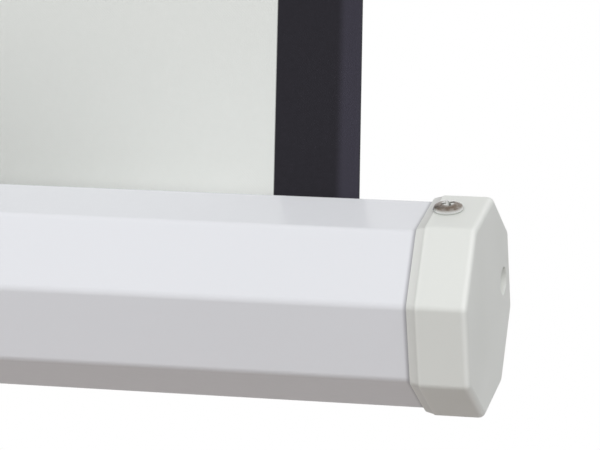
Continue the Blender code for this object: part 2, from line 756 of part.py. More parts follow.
def housing_section():
    """The rolled sheet from the slot's rear edge, down round the front and back up to the slot."""
    top = octagon_corner(HOUSING_CORNER, 90)
    rear_top = octagon_corner(HOUSING_CORNER, 45)
    rear = octagon_corner(HOUSING_CORNER, 0)
    path = [rear_top.lerp(rear, SLOT_REAR_SHARE)]
    for degrees in range(0, -271, -45):
        centre = octagon_corner(HOUSING_CORNER - HOUSING_BEND / EIGHTH, degrees)
        for step in range(BEND_STEPS + 1):
            path.append(centre + octagon_corner(HOUSING_BEND, degrees + 22.5 - 45 * step / BEND_STEPS))
    path.append(top.lerp(rear_top, SLOT_FRONT / rear_top.x))
    return [tuple(point) for point in path]


def octagon(flats, low, high):
    return rod(flats / 2 / EIGHTH, low, high, 8)


# Case: the rolled housing, moulded end caps and the saddle behind it
def end_place(side):
    """Local Z points out of the case's end from its end face."""
    facing = Matrix.Identity(4) if side > 0 else turn(180, "Z")
    return at(side * CASE_LENGTH / 2, CASE_Y, CASE_HEIGHT) @ facing @ ALONG_X


def screw_place(side):
    """On the middle of the cap's top front face, with local Z out of it."""
    across = 112.5 if side > 0 else 67.5
    return end_place(side) @ at(0, 0, -CAP_SCREW_INBOARD) @ turn(across - 90, "Z") @ turn(-90, "X")


def end_cap(name, side, case):
    bm = bmesh.new()
    bmesh.ops.create_cone(
        bm, cap_ends=True, segments=8, radius1=CAP_CORNER, radius2=CAP_CORNER, depth=CAP_LENGTH
    )
    bmesh.ops.translate(bm, verts=bm.verts, vec=(0, 0, -CAP_LENGTH / 2))
    mouth_edges = [edge for edge in bm.edges if all(vertex.co.z < -GAP for vertex in edge.verts)]
    rounded = [edge for edge in bm.edges if edge not in mouth_edges]
    bmesh.ops.bevel(bm, geom=rounded, offset=CAP_FILLET, segments=3, profile=0.5, affect="EDGES")
    lip = CAP_LIP - CAP_LENGTH
    bmesh.ops.bisect_plane(
        bm, geom=bm.verts[:] + bm.edges[:] + bm.faces[:], plane_co=(0, 0, lip), plane_no=(0, 0, 1)
    )
    taper = 1 - CAP_LIP_TAPER / CAP_CORNER
    for vertex in bm.verts:
        if vertex.co.z < lip - GAP:
            vertex.co.x *= taper
            vertex.co.y *= taper
    place = end_place(side)
    cap = piece(name, clean_mesh(bm, name), place, CAP_PLASTIC, case)
    boolean(cap, octagon(HOUSING_FLATS + 2 * GAP, -2 * CAP_LENGTH, -CAP_END_WALL), place)
    boss = -CAP_END_WALL - CAP_BOSS_LENGTH
    joined(cap, rod(CAP_BOSS_RADIUS, boss, OVERLAP - CAP_END_WALL), place)
    if side > 0:
        boolean(cap, rod(ROLLER_PIN + GAP, 2 * boss, -CAP_BORE_FLOOR), place)
    else:
        half = ARBOR_SQUARE / 2 + GAP
        boolean(cap, block((-half, -half, 2 * boss), (half, half, -CAP_BORE_FLOOR)), place)
    recess_place = place @ at(side * RECESS_BEHIND, RECESS_ABOVE, 0)
    boolean(cap, rod(RECESS_RADIUS, -RECESS_DEPTH, CAP_LENGTH), recess_place)
    boolean(cap, rod(CAP_SCREW_SHANK + GAP, HOUSING_FLATS / 3, HOUSING_FLATS, HOLE_STEPS), screw_place(side))


def cap_screw(name, side, case):
    seat = CAP_FLATS / 2 + GAP
    top = seat + CAP_SCREW_RISE
    shank = CAP_SCREW_SHANK
    screw = piece(
        name,
        turned([
            (0, top), *((CAP_SCREW_HEAD * share, top - depth) for share, depth in CAP_SCREW_DOME),
            (CAP_SCREW_HEAD, seat), (shank, seat),
            (shank, seat - CAP_SCREW_LENGTH + CAP_SCREW_POINT), (0, seat - CAP_SCREW_LENGTH),
        ]),
        screw_place(side), NICKEL, case,
    )
    for angle in (45, 135):
        bar = block(
            (-CROSS_HALF_LENGTH, -CROSS_HALF_WIDTH, top - CROSS_DEPTH),
            (CROSS_HALF_LENGTH, CROSS_HALF_WIDTH, top + OVERLAP),
        )
        boolean(screw, bar, screw_place(side) @ turn(angle, "Z"))


def case_parts(case, saddle_back):
    centre = at(0, CASE_Y, CASE_HEIGHT)
    half = CASE_LENGTH / 2 - CAP_END_WALL - GAP
    housing = piece("case_housing", ribbon(housing_section(), -half, half), centre @ ALONG_X, ENAMEL, case)
    solidify(housing, SHEET, -1)
    for side in (1, -1):
        hole = rod(CAP_SCREW_SHANK + GAP, HOUSING_FLATS / 3, HOUSING_FLATS, HOLE_STEPS)
        boolean(housing, hole, screw_place(side))
    end_cap("right_end_cap", 1, case)
    end_cap("left_end_cap", -1, case)
    cap_screw("right_cap_screw", 1, case)
    cap_screw("left_cap_screw", -1, case)

    back = CASE_FORWARD - saddle_back
    front = octagon_corner(HOUSING_CORNER, 45).x + GAP
    saddle = piece(
        "case_saddle",
        block(
            (-SADDLE_HALF_LENGTH, front, -SADDLE_HALF_HEIGHT),
            (SADDLE_HALF_LENGTH, back, SADDLE_HALF_HEIGHT), SADDLE_EDGE,
        ),
        centre, ENAMEL, case,
    )
    hollow = octagon(HOUSING_FLATS + 2 * GAP, -RIGHT_THROUGH, RIGHT_THROUGH)
    boolean(saddle, hollow, centre @ ALONG_X)
    boolean(saddle, rod(PIVOT_RADIUS + GAP, 0, 2 * CASE_FORWARD), centre @ ALONG_Y)


# Spring roller inside the case
def roller_parts(case, roller):
    place = at(0, CASE_Y, CASE_HEIGHT) @ ALONG_X
    half = FABRIC_WIDTH / 2 + ROLLER_OVERHANG
    inner = ROLLER_RADIUS - ROLLER_WALL
    piece(
        "roller_tube",
        turned([(ROLLER_RADIUS, half), (ROLLER_RADIUS, -half), (inner, -half), (inner, half)], ring=True),
        place, BARE_ALUMINIUM, roller,
    )
    wound = ROLLER_RADIUS + GAP
    edge = FABRIC_WIDTH / 2
    piece(
        "fabric_winding",
        turned([(ROLL_RADIUS, edge), (ROLL_RADIUS, -edge), (wound, -edge), (wound, edge)], ring=True),
        place, CLOTH_WHITE, roller,
    )
    boss_face = CASE_LENGTH / 2 - CAP_END_WALL - CAP_BOSS_LENGTH - 2 * GAP
    pin_end = CASE_LENGTH / 2 - CAP_BORE_FLOOR - GAP
    flange = half + PLUG_FLANGE
    insert = inner - GAP
    piece(
        "idler_plug",
        turned([
            (0, pin_end), (ROLLER_PIN, pin_end), (ROLLER_PIN, boss_face), (2 * ROLLER_PIN, boss_face),
            (2 * ROLLER_PIN, flange), (ROLLER_RADIUS, flange), (ROLLER_RADIUS, half + GAP),
            (insert, half + GAP), (insert, half - PLUG_DEPTH), (0, half - PLUG_DEPTH),
        ]),
        place, DARK_PLASTIC, roller,
    )
    sleeve = SPRING_RADIUS * math.cos(math.pi / SPRING_POINTS) - SPRING_WIRE - GAP
    sleeve_end = PLUG_DEPTH + SLEEVE_LENGTH
    bore = ARBOR_RADIUS + GAP
    mirrored = at(0, CASE_Y, CASE_HEIGHT) @ turn(180, "Z") @ ALONG_X
    piece(
        "spring_plug",
        turned([
            (ROLLER_RADIUS, flange), (ROLLER_RADIUS, half + GAP), (insert, half + GAP),
            (insert, half - PLUG_DEPTH), (sleeve, half - PLUG_DEPTH), (sleeve, half - sleeve_end),
            (bore, half - sleeve_end), (bore, flange),
        ], ring=True),
        mirrored, DARK_PLASTIC, roller,
    )
    arbor_end = half - ARBOR_REACH
    arbor = piece(
        "spring_arbor",
        turned([
            (0, boss_face), (ARBOR_RADIUS, boss_face), (ARBOR_RADIUS, arbor_end + ARBOR_COLLAR),
            (sleeve, arbor_end + ARBOR_COLLAR - ARBOR_EDGE), (sleeve, arbor_end), (0, arbor_end),
        ]),
        mirrored, STEEL, case,
    )
    square = ARBOR_SQUARE / 2
    joined(arbor, block((-square, -square, boss_face - OVERLAP), (square, square, pin_end)), mirrored)
    low = arbor_end + SPRING_START
    high = half - PLUG_DEPTH - SPRING_END
    steps = SPRING_TURNS * SPRING_POINTS
    coil = [
        (
            SPRING_RADIUS * math.cos(2 * math.pi * i / SPRING_POINTS),
            SPRING_RADIUS * math.sin(2 * math.pi * i / SPRING_POINTS),
            low + (high - low) * i / steps,
        )
        for i in range(steps + 1)
    ]
    clear = (high - low) / SPRING_TURNS - 2 * SPRING_WIRE
    print(f"Least gap between the spring's turns: {clear:.4f} m")
    piece("roller_spring", wire(coil, SPRING_WIRE, 1), mirrored, STEEL, case)


# Fabric, top slat and the bail that hangs it from the mast
def slat_outline(inset):
    half_depth = SLAT_DEPTH / 2 - inset
    half_height = SLAT_HEIGHT / 2 - inset
    corners = [
        (-half_depth, -half_height, 0), (half_depth, -half_height, 0),
        (half_depth, half_height, 0), (-half_depth, half_height, 0),
    ]
    return [point[:2] for point in eased(corners, SLAT_ROUND - inset, SLAT_ROUND_STEPS, closed=True)]


def slat_parts(slat, bail_axis):
    centre = at(0, FABRIC_Y, SLAT_BOTTOM + SLAT_HEIGHT / 2) @ ALONG_X
    half = FABRIC_WIDTH / 2 + SLAT_OVERHANG
    tube = prism([slat_outline(0), slat_outline(SLAT_WALL)], -half, half)
    piece("top_slat", tube, centre, ENAMEL, slat)
    for name, side in (("right_slat_plug", 1), ("left_slat_plug", -1)):
        place = centre @ (Matrix.Identity(4) if side > 0 else turn(180, "X"))
        flange = prism([slat_outline(0)], half + GAP, half + GAP + SLAT_PLUG)
        plug = piece(name, flange, place, CAP_PLASTIC, slat)
        insert = prism([slat_outline(SLAT_WALL + GAP)], half - SLAT_PLUG_INSERT, half + 2 * GAP)
        joined(plug, insert, place)

    lug_place = at(0, BAIL_PIVOT_Y, BAIL_PIVOT_Z) @ ALONG_X
    foot = -BRACKET_DEPTH / 2
    reach = BRACKET_DEPTH / 2
    dome = [
        (reach * math.cos(math.pi * i / ARM_STEPS), reach * math.sin(math.pi * i / ARM_STEPS))
        for i in range(ARM_STEPS + 1)
    ]
    lug = [(-reach, foot), (reach, foot)] + dome
    hole = circle(BAIL_WIRE + GAP, steps=HOLE_STEPS)
    lug_mesh = prism([lug, hole], -BRACKET_HALF_WIDTH, BRACKET_HALF_WIDTH)
    piece("bail_bracket", lug_mesh, lug_place, CAP_PLASTIC, slat)
    inward = BRACKET_HALF_WIDTH - BAIL_EYE
    corners = [
        (-inward, 0, 0), (-BAIL_HALF_WIDTH, 0, 0), (-BAIL_HALF_WIDTH, BAIL_REACH, BAIL_RISE),
        (BAIL_HALF_WIDTH, BAIL_REACH, BAIL_RISE), (BAIL_HALF_WIDTH, 0, 0), (inward, 0, 0),
    ]
    place = at(0, BAIL_PIVOT_Y, BAIL_PIVOT_Z)
    path = eased(corners, BAIL_BEND, BAIL_BEND_STEPS)
    piece("hanging_bail", wire(path, BAIL_WIRE), place, STEEL, bail_axis)


def screen_fabric(case):
    half_width = FABRIC_WIDTH / 2
    half = FABRIC_THICKNESS / 2
    low = CASE_HEIGHT
    high = SLAT_BOTTOM - GAP
    sheet = block((-half_width, -half, 0), (half_width, half, high - low))
    piece("screen_fabric", sheet, at(0, FABRIC_Y, low), CLOTH_WHITE, case)


stand_axis = pivot("stand", at(0, COLUMN_Y, 0))
column_parts(stand_axis)
lower_hub(stand_axis)
leg_axes = [leg_parts(i + 1, direction, stand_axis) for i, direction in enumerate(LEG_DIRECTIONS)]
leg_collar(leg_axes[0])
mast_parts(stand_axis)
clamp_screw("mast_clamp", CLAMP_STUD_Z, MAST_RADIUS, stand_axis)

carrier_axis = pivot("carrier_axis", at(0, COLUMN_Y, CASE_HEIGHT), stand_axis)
saddle_face = carrier_parts(carrier_axis)
clamp_screw("case_clamp", CASE_HEIGHT, COLUMN_RADIUS, carrier_axis)

case_axis = pivot("case_axis", at(0, CASE_Y, CASE_HEIGHT), carrier_axis)
case_parts(case_axis, saddle_face)
roller_axis = pivot("roller_axis", at(0, CASE_Y, CASE_HEIGHT), case_axis)
roller_parts(case_axis, roller_axis)
screen_fabric(case_axis)
slat_axis = pivot("slat_axis", at(0, FABRIC_Y, SLAT_BOTTOM), case_axis)
bail_pivot = pivot("bail_axis", at(0, BAIL_PIVOT_Y, BAIL_PIVOT_Z), slat_axis)
slat_parts(slat_axis, bail_pivot)
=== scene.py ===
"""Portable projector screen on a folding tripod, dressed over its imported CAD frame.

World axes: +Z up, +Y away from the viewer, +X to the viewer's right. Everything is in metres. The
sections follow the screen as it is put together: case, cloth, top slat, column and mast, then the
tripod, and last the roller and what else is inside.
"""

import math

import bmesh
import bpy
from mathutils import Matrix, Vector


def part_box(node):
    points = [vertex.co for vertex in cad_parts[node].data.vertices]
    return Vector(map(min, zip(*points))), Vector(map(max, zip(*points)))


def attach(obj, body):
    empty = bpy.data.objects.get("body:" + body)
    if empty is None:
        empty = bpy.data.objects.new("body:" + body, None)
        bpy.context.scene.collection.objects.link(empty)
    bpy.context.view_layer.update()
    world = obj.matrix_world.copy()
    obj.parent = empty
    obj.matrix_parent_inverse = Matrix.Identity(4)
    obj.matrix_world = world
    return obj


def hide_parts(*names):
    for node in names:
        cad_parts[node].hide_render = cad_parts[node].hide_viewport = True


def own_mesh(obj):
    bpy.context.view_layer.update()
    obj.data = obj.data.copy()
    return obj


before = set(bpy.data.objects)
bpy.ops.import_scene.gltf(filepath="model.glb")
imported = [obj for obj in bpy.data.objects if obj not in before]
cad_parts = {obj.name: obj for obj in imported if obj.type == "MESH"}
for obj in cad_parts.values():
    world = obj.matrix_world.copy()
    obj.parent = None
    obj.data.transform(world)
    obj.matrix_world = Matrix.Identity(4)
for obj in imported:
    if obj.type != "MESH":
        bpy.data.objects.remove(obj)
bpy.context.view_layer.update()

# Studio. A pale floor that runs out into a white surround, one broad soft lamp in front, above and to
# the right, and the photograph's view. None of it belongs to the screen.
horizon_level = 0.69
zenith_level = 0.25
plain_white = (1.0, 1.0, 1.0)
floor_radius = 9.0
paper_colour = (0.80, 0.80, 0.80)
paper_glow = 0.26
whitens_from = 1.6
whitens_to = 5.0
bounce_near = (0.60, 0.505, 0.445)
bounce_far = (0.26, 0.27, 0.285)
bounce_from = 0.7
bounce_to = 2.4
lamp_level = 0.58
lamp_spread = 90
lamp_toward = (0.17, -0.86, 0.48)


def fill(tree, node, inputs):
    """Fills a node's inputs: a fixed value is written on the socket, another node's output is linked."""
    for name, value in inputs.items():
        entry = node.inputs[name]
        if isinstance(value, bpy.types.NodeSocket):
            tree.links.new(value, entry)
        else:
            entry.default_value = (*value, 1.0) if entry.type == "RGBA" else value
    return node


def put(tree, kind, inputs=None, **settings):
    """A new node with its settings and inputs."""
    node = tree.nodes.new(kind)
    for name, value in settings.items():
        setattr(node, name, value)
    return fill(tree, node, inputs or {})


def wired(tree, kind, inputs=None, **settings):
    """What a new node gives: its first output in use."""
    return next(out for out in put(tree, kind, inputs, **settings).outputs if out.enabled)


def calc(tree, operation, *terms):
    return wired(tree, "ShaderNodeMath", dict(enumerate(terms)), operation=operation)


def ranged(tree, value, start, end, low=0.0, high=1.0, kind="LINEAR"):
    """Goes from low to high while the value goes from start to end."""
    limits = {"Value": value, "From Min": start, "From Max": end, "To Min": low, "To Max": high}
    return wired(tree, "ShaderNodeMapRange", limits, interpolation_type=kind)


def mixed(tree, share, first, second):
    """A colour between two, each a fixed colour or a socket."""
    return wired(tree, "ShaderNodeMix", {"Factor": share, "A": first, "B": second}, data_type="RGBA")


def new_look(name):
    look = bpy.data.materials.new(name)
    look.use_nodes = True
    return look


def placed(name, data):
    made = bpy.data.objects.new(name, data)
    bpy.context.scene.collection.objects.link(made)
    return made


def as_mesh(bm, name):
    mesh = bpy.data.meshes.new(name)
    bm.to_mesh(mesh)
    bm.free()
    return mesh


def seen_directly(tree):
    """1 for rays that show the studio itself: from the camera, off gloss and metal, or through glass."""
    ray = put(tree, "ShaderNodeLightPath").outputs
    either = calc(tree, "MAXIMUM", ray["Is Camera Ray"], ray["Is Transmission Ray"])
    return calc(tree, "MAXIMUM", either, ray["Is Glossy Ray"])


surround = bpy.data.worlds.new("white_surround")
bpy.context.scene.world = surround
surround.use_nodes = True
tree = surround.node_tree
tree.nodes.clear()
around = put(tree, "ShaderNodeTexCoord").outputs["Generated"]
height = put(tree, "ShaderNodeSeparateXYZ", {"Vector": around}).outputs["Z"]
level = ranged(tree, height, 0.0, 1.0, horizon_level, zenith_level)
shown_colour = mixed(tree, seen_directly(tree), level, plain_white)
background = wired(tree, "ShaderNodeBackground", {"Color": shown_colour})
put(tree, "ShaderNodeOutputWorld", {"Surface": background})

floor_bm = bmesh.new()
bmesh.ops.create_circle(floor_bm, cap_ends=True, segments=96, radius=floor_radius)
floor = placed("studio_floor", as_mesh(floor_bm, "studio_floor"))
paper = new_look("studio_paper")
tree = paper.node_tree
tree.nodes.clear()
spot = put(tree, "ShaderNodeTexCoord").outputs["Object"]
reach = wired(tree, "ShaderNodeVectorMath", {0: spot}, operation="LENGTH")
matte = wired(tree, "ShaderNodeBsdfDiffuse", {"Color": paper_colour})
glow = wired(tree, "ShaderNodeEmission", {"Strength": paper_glow})
lit = wired(tree, "ShaderNodeAddShader", {0: matte, 1: glow})
white = wired(tree, "ShaderNodeEmission")
whitened = ranged(tree, reach, whitens_from, whitens_to, kind="SMOOTHSTEP")
photographed = wired(tree, "ShaderNodeMixShader", {"Fac": whitened, 1: lit, 2: white})
far_out = ranged(tree, reach, bounce_from, bounce_to, kind="SMOOTHSTEP")
bounce = wired(tree, "ShaderNodeBsdfDiffuse", {"Color": mixed(tree, far_out, bounce_near, bounce_far)})
chosen = wired(tree, "ShaderNodeMixShader", {"Fac": seen_directly(tree), 1: bounce, 2: photographed})
put(tree, "ShaderNodeOutputMaterial", {"Surface": chosen})
floor.data.materials.append(paper)

# The lamp's level is the brightness it gives a white card. Gloss shows the white studio instead.
lamp = bpy.data.lights.new("front_lamp", "SUN")
lamp.energy = lamp_level * math.pi
lamp.angle = math.radians(lamp_spread)
holder = placed("front_lamp", lamp)
holder.rotation_euler = (-Vector(lamp_toward)).to_track_quat("-Z", "Y").to_euler()
holder.visible_glossy = False

view = bpy.data.cameras.new("photograph_view")
view.sensor_width = 36.0
view.lens = 206.05
view.clip_start = 0.05
view.clip_end = 60.0
camera = placed("photograph_view", view)
camera.matrix_world = Matrix((
    (0.96567051, -0.04218454, 0.25632193, 0.936642),
    (0.25654841, -0.00004646, -0.96653138, -1.323667),
    (0.04078460, 0.99910983, 0.01077752, 1.165940),
    (0.0, 0.0, 0.0, 1.0),
))
bpy.context.scene.camera = camera
bpy.context.scene.view_settings.view_transform = "Standard"

# Case housing. One strip of steel sheet, roll-formed into an octagon with a corner up and a corner
# to the front, sprayed with white gloss enamel. A slot behind the top corner lets the cloth out.
flats_across = 0.062
sheet_gauge = 0.0009
outer_bend = 0.0036
slot_front = 0.0165
slot_rear_share = 0.06
# Painted shadow: the enamel darkens in a band just inboard of the caps' lips, where their step shades the
# housing
contact_shade_width = 0.0018
contact_shade_edge = 0.0003
contact_shade_colour = (0.50, 0.50, 0.53)
cap_length = 0.0197
case_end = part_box("right_end_cap")[1].x
lip_mouth = case_end - cap_length
eighth = math.cos(math.radians(22.5))
housing_low, housing_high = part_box("case_housing")
case_centre = (housing_low + housing_high) / 2
case_centre.x = 0.0


def polar(radius, degrees):
    angle = math.radians(degrees)
    return Vector((radius * math.cos(angle), radius * math.sin(angle)))


def sheet_line(inset, steps=10):
    """Points (rear, up) along a face of the bent sheet, from the slot's rear edge to its front edge."""
    top, rear_top, rear = (polar((flats_across / 2 - inset) / eighth, turn) for turn in (90, 45, 0))
    line = [rear_top.lerp(rear, slot_rear_share)]
    for turn in range(0, -271, -45):
        centre = polar((flats_across / 2 - outer_bend) / eighth, turn)
        for step in range(steps + 1):
            line.append(centre + polar(outer_bend - inset, turn + 22.5 - 45 * step / steps))
    line.append(top.lerp(rear_top, slot_front / rear_top.x))
    return line


def sealed(bm, name):
    """Merges the doubles, turns the faces outwards and makes a mesh."""
    bmesh.ops.remove_doubles(bm, verts=bm.verts, dist=0.000001)
    bmesh.ops.recalc_face_normals(bm, faces=bm.faces)
    return as_mesh(bm, name)


def skinned(name, rings, ends="capped"):
    """A closed skin over rings with the same count of points, capped at both ends or joined round."""
    bm = bmesh.new()
    loops = [[bm.verts.new(point) for point in ring] for ring in rings]
    pairs = list(zip(loops, loops[1:]))
    if ends == "joined":
        pairs.append((loops[-1], loops[0]))
    for near, far in pairs:
        for i in range(len(near)):
            j = (i + 1) % len(near)
            bm.faces.new((near[i], near[j], far[j], far[i]))
    if ends == "capped":
        bm.faces.new(loops[0][::-1])
        bm.faces.new(loops[-1])
    return sealed(bm, name)


def even_normals(made):
    normals = made.modifiers.new("even_normals", "WEIGHTED_NORMAL")
    normals.keep_sharp = True


def shown(name, mesh, look, body, slot, *stands_for, sharp=30, even=True):
    """Puts a finished mesh on its body: smooth but for edges sharper than the angle given."""
    mesh.name = name
    mesh.materials.clear()
    mesh.materials.append(look)
    mesh.shade_smooth()
    mesh.set_sharp_from_angle(angle=math.radians(sharp))
    made = placed(name, mesh)
    if even:
        even_normals(made)
    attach(made, body)
    if stands_for:
        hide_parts(*stands_for)
    return made


def socket(group, name, kind, way="INPUT", value=None):
    made = group.interface.new_socket(name=name, in_out=way, socket_type=kind)
    if value is not None:
        made.default_value = value


def noise(tree, where, rate, detail):
    return wired(tree, "ShaderNodeTexNoise", {"Vector": where, "Scale": rate, "Detail": detail})


def surface_skin():
    """Shared effect: fine relief and a slow mottle, for sprayed, moulded and drawn surfaces alike."""
    group = bpy.data.node_groups.new("surface_skin", "ShaderNodeTree")
    socket(group, "Grain per metre", "NodeSocketFloat", value=2000.0)
    socket(group, "Mottle per metre", "NodeSocketFloat", value=20.0)
    socket(group, "Height", "NodeSocketFloat", "OUTPUT")
    socket(group, "Mottle", "NodeSocketFloat", "OUTPUT")
    given = put(group, "NodeGroupInput").outputs
    where = put(group, "ShaderNodeTexCoord").outputs["Object"]
    put(group, "NodeGroupOutput", {
        "Height": noise(group, where, given["Grain per metre"], 3.0),
        "Mottle": noise(group, where, given["Mottle per metre"], 2.0),
    })
    return group


skin = surface_skin()


def finish(name, pale, deep, grain, mottle, relief, smooth, rough, **sockets):
    """A solid finish. Over its mottle it goes from pale and smooth to deep and rough."""
    look = new_look(name)
    tree = look.node_tree
    rates = {"Grain per metre": grain, "Mottle per metre": mottle}
    effect = put(tree, "ShaderNodeGroup", rates, node_tree=skin).outputs
    fill(tree, tree.nodes["Principled BSDF"], {
        "Base Color": mixed(tree, effect["Mottle"], pale, deep),
        "Roughness": ranged(tree, effect["Mottle"], 0.3, 0.7, smooth, rough),
        "Normal": wired(tree, "ShaderNodeBump", {"Distance": relief, "Height": effect["Height"]}),
        **{socket_name.replace("_", " "): value for socket_name, value in sockets.items()},
    })
    return look


def tint(look, mask, colour):
    """Lays a colour over a finish wherever the mask, a socket in its tree, asks for it."""
    base = look.node_tree.nodes["Principled BSDF"].inputs["Base Color"]
    over = mixed(look.node_tree, mask, base.links[0].from_socket, colour)
    look.node_tree.links.new(over, base)


gloss_enamel = finish(
    "gloss_enamel", (0.815, 0.825, 0.860), (0.80, 0.81, 0.845), 260, 9, 0.00004, 0.12, 0.16,
    Specular_IOR_Level=0.15,
)
# A painted shadow darkens the enamel in a band just inboard of the caps' lips, where their step shades it.
tree = gloss_enamel.node_tree
spot = put(tree, "ShaderNodeTexCoord").outputs["Object"]
along = calc(tree, "ABSOLUTE", put(tree, "ShaderNodeSeparateXYZ", {"Vector": spot}).outputs["X"])
contact_shade = ranged(tree, along, lip_mouth - contact_shade_width, lip_mouth - contact_shade_edge, kind="SMOOTHSTEP")
tint(gloss_enamel, contact_shade, contact_shade_colour)
section = sheet_line(0.0) + sheet_line(sheet_gauge)[::-1]
housing = skinned("housing", [
    [(x, case_centre.y + rear, case_centre.z + up) for rear, up in section]
    for x in (housing_low.x, housing_low.x / 2, 0.0, housing_high.x / 2, housing_high.x)
])
shown("housing", housing, gloss_enamel, "case", "case_enamel", "case_housing")

# End caps. Moulded in warm light grey plastic: eight sides with eased corners, a rounded rim round
# the end face, a chamfered lip where the cap grips the housing, and a blind hole near the rear corner.
cap_flats = 0.066
cap_wall = 0.0018
rim_round = 0.0022
corner_round = 0.0034
lip_width = 0.0031
lip_drop = 0.0010
lip_edge = 0.0003
lip_start = cap_length - lip_width
# Distances past the lip's start and below the cap's sides
lip_step = ((-0.0012, 0.0), (-0.0003, 0.0), (0.0, 0.00008), (0.00035, 0.0003), (0.0008, 0.00042))
blind_radius = 0.0044
blind_depth = 0.0026
blind_behind = 0.0204
blind_above = 0.0083
# Painted highlight along the rim, the step and the lip's mouth, and the share of painted lip shade below the
# top
rim_highlight_middle = 0.42
rim_highlight_reach = 0.5
mouth_highlight = 0.6
step_highlight = 0.2
lower_shade = 0.5
both_ends = ((1, "right"), (-1, "left"))


def rounding(radius, steps):
    """How far a rounded edge falls away from its two faces, from the first face to the second."""
    turns = [math.radians(90 * step / steps) for step in range(steps + 1)]
    return [(radius * (1 - math.sin(turn)), radius * (1 - math.cos(turn))) for turn in turns]


def cap_ring(side, inboard, inset, round_left, steps=6):
    """One ring of a cap, that far inboard of the end face and that far inside its sides."""
    ring = []
    for degrees in range(0, 360, 45):
        corner = polar((cap_flats / 2 - inset - round_left) / eighth, degrees)
        for step in range(steps + 1):
            rear, up = corner + polar(round_left, degrees - 22.5 + 45 * step / steps)
            ring.append((side * (case_end - inboard), case_centre.y + rear, case_centre.z + up))
    return ring


def cap_shell(side):
    rings = []
    for inset, inboard in rounding(rim_round, 8):
        rings.append(cap_ring(side, inboard, inset, max(corner_round - inset * 0.7, 0.0004)))
    profile = [(rim_round + 0.0004, 0.0)]
    profile += [(lip_start + past, drop) for past, drop in lip_step]
    profile += [
        (cap_length - lip_edge - 0.0004, lip_drop - 0.0002), (cap_length - lip_edge, lip_drop - 0.0001),
        (cap_length, lip_drop + lip_edge * 0.6), (cap_length, cap_wall), (rim_round + cap_wall, cap_wall),
    ]
    rings += [cap_ring(side, inboard, inset, corner_round * 0.9) for inboard, inset in profile]
    return skinned("cap_shell", rings)


def plain_mesh(made, *helpers):
    """An object's evaluated shape as plain mesh data. The object and its helpers are deleted."""
    graph = bpy.context.evaluated_depsgraph_get()
    mesh = bpy.data.meshes.new_from_object(made.evaluated_get(graph))
    for used in (made, *helpers):
        bpy.data.objects.remove(used)
    return mesh


def cut(mesh, tool_mesh, operation="DIFFERENCE"):
    """The mesh after a boolean with a tool."""
    part = placed("part", mesh)
    tool = placed("tool", tool_mesh)
    step = part.modifiers.new("boolean", "BOOLEAN")
    step.operation = operation
    step.object = tool
    step.solver = "EXACT"
    return plain_mesh(part, tool)


def ring_of(place, height, radii):
    """A ring round the place's Z axis, with its radii spaced evenly."""
    turn = 360 / len(radii)
    return [place @ Vector((*polar(radius, i * turn), height)) for i, radius in enumerate(radii)]


def turned(profile, place, steps=48, ends="capped", pole=0.00002):
    """A lathe-turned shape from (radius, height) points, about the place's own Z axis."""
    rings = [ring_of(place, height, [max(radius, pole)] * steps) for radius, height in profile]
    return skinned("turned", rings, ends)


def case_end_place(side):
    """Local Z runs out of the case's end face, local X to the rear and local Y up."""
    facing = Matrix(((0, 0, side, 0), (1, 0, 0, 0), (0, 1, 0, 0), (0, 0, 0, 1)))
    return Matrix.Translation((side * case_end, case_centre.y, case_centre.z)) @ facing


def mark_painted_light(shell):
    """Writes a painted highlight along a cap's rim, step and mouth, and painted shade on its lip: most on
    top.
    """
    rim = shell.attributes.new("rim", "FLOAT", "POINT")
    lip = shell.attributes.new("lip", "FLOAT", "POINT")
    for i, vertex in enumerate(shell.vertices):
        inboard = case_end - abs(vertex.co.x)
        off_highlight = abs(inboard - rim_round * rim_highlight_middle)
        rim.data[i].value = max(0.0, 1.0 - off_highlight / (rim_round * rim_highlight_reach))
        past_step = inboard - lip_start
        around = math.degrees(math.atan2(vertex.co.z - case_centre.z, case_centre.y - vertex.co.y))
        # Painted shade on the lip, full on the top sides and deepest next to the step
        if past_step > 0.0002:
            shade = 1.0 if 45 < around < 135 else lower_shade
            lip.data[i].value = shade * (1.0 - 0.5 * min(1.0, past_step / (lip_width - lip_edge)))
        if inboard > cap_length - lip_edge - 0.0001:
            rim.data[i].value = mouth_highlight
        elif -0.0004 < past_step < -0.0001:
            rim.data[i].value = step_highlight


cap_plastic = finish(
    "cap_plastic", (0.790, 0.803, 0.775), (0.770, 0.783, 0.755), 1500, 45, 0.00002, 0.38, 0.46,
    Specular_IOR_Level=0.3,
)
painted_light_cap = finish(
    "painted_light_cap", (0.795, 0.810, 0.780), (0.775, 0.790, 0.760), 1500, 45, 0.00002, 0.38, 0.46,
    Specular_IOR_Level=0.3,
)
# Painted highlight on the rim, step and mouth, and painted shade on the lip
for attribute, colour in (("rim", (0.92, 0.935, 0.905)), ("lip", (0.585, 0.585, 0.570))):
    asked = put(painted_light_cap.node_tree, "ShaderNodeAttribute", attribute_name=attribute)
    tint(painted_light_cap, asked.outputs["Fac"], colour)
blind_hole = (
    (blind_radius - 0.0008, -blind_depth), (blind_radius - 0.0003, 0.0003 - blind_depth),
    (blind_radius, -0.0004), (blind_radius + 0.0004, 0.0001), (blind_radius + 0.0006, 0.002),
)
for side, name in both_ends:
    hole_place = case_end_place(side) @ Matrix.Translation((blind_behind, blind_above, 0))
    shell = cut(cap_shell(side), turned(blind_hole, hole_place))
    mark_painted_light(shell)
    shown(
        f"{name}_cap_shell", shell, painted_light_cap, "case", "end_cap_plastic", f"{name}_end_cap", sharp=38,
    )

# Cap screws. One nickel-plated pan-head screw with a cross recess holds each cap, near the middle of
# its top front face. A brown painted reflection lies round the crown, weak over the middle and left off
# its upper rear side, where the bare nickel shows bright.
screw_inboard = 0.0124
screw_rearward = 0.0012
screw_head = 0.0050
screw_rise = 0.0024
screw_seat = 0.00003
screw_shank = 0.0018
shank_end = 0.006
screw_tip = 0.0074
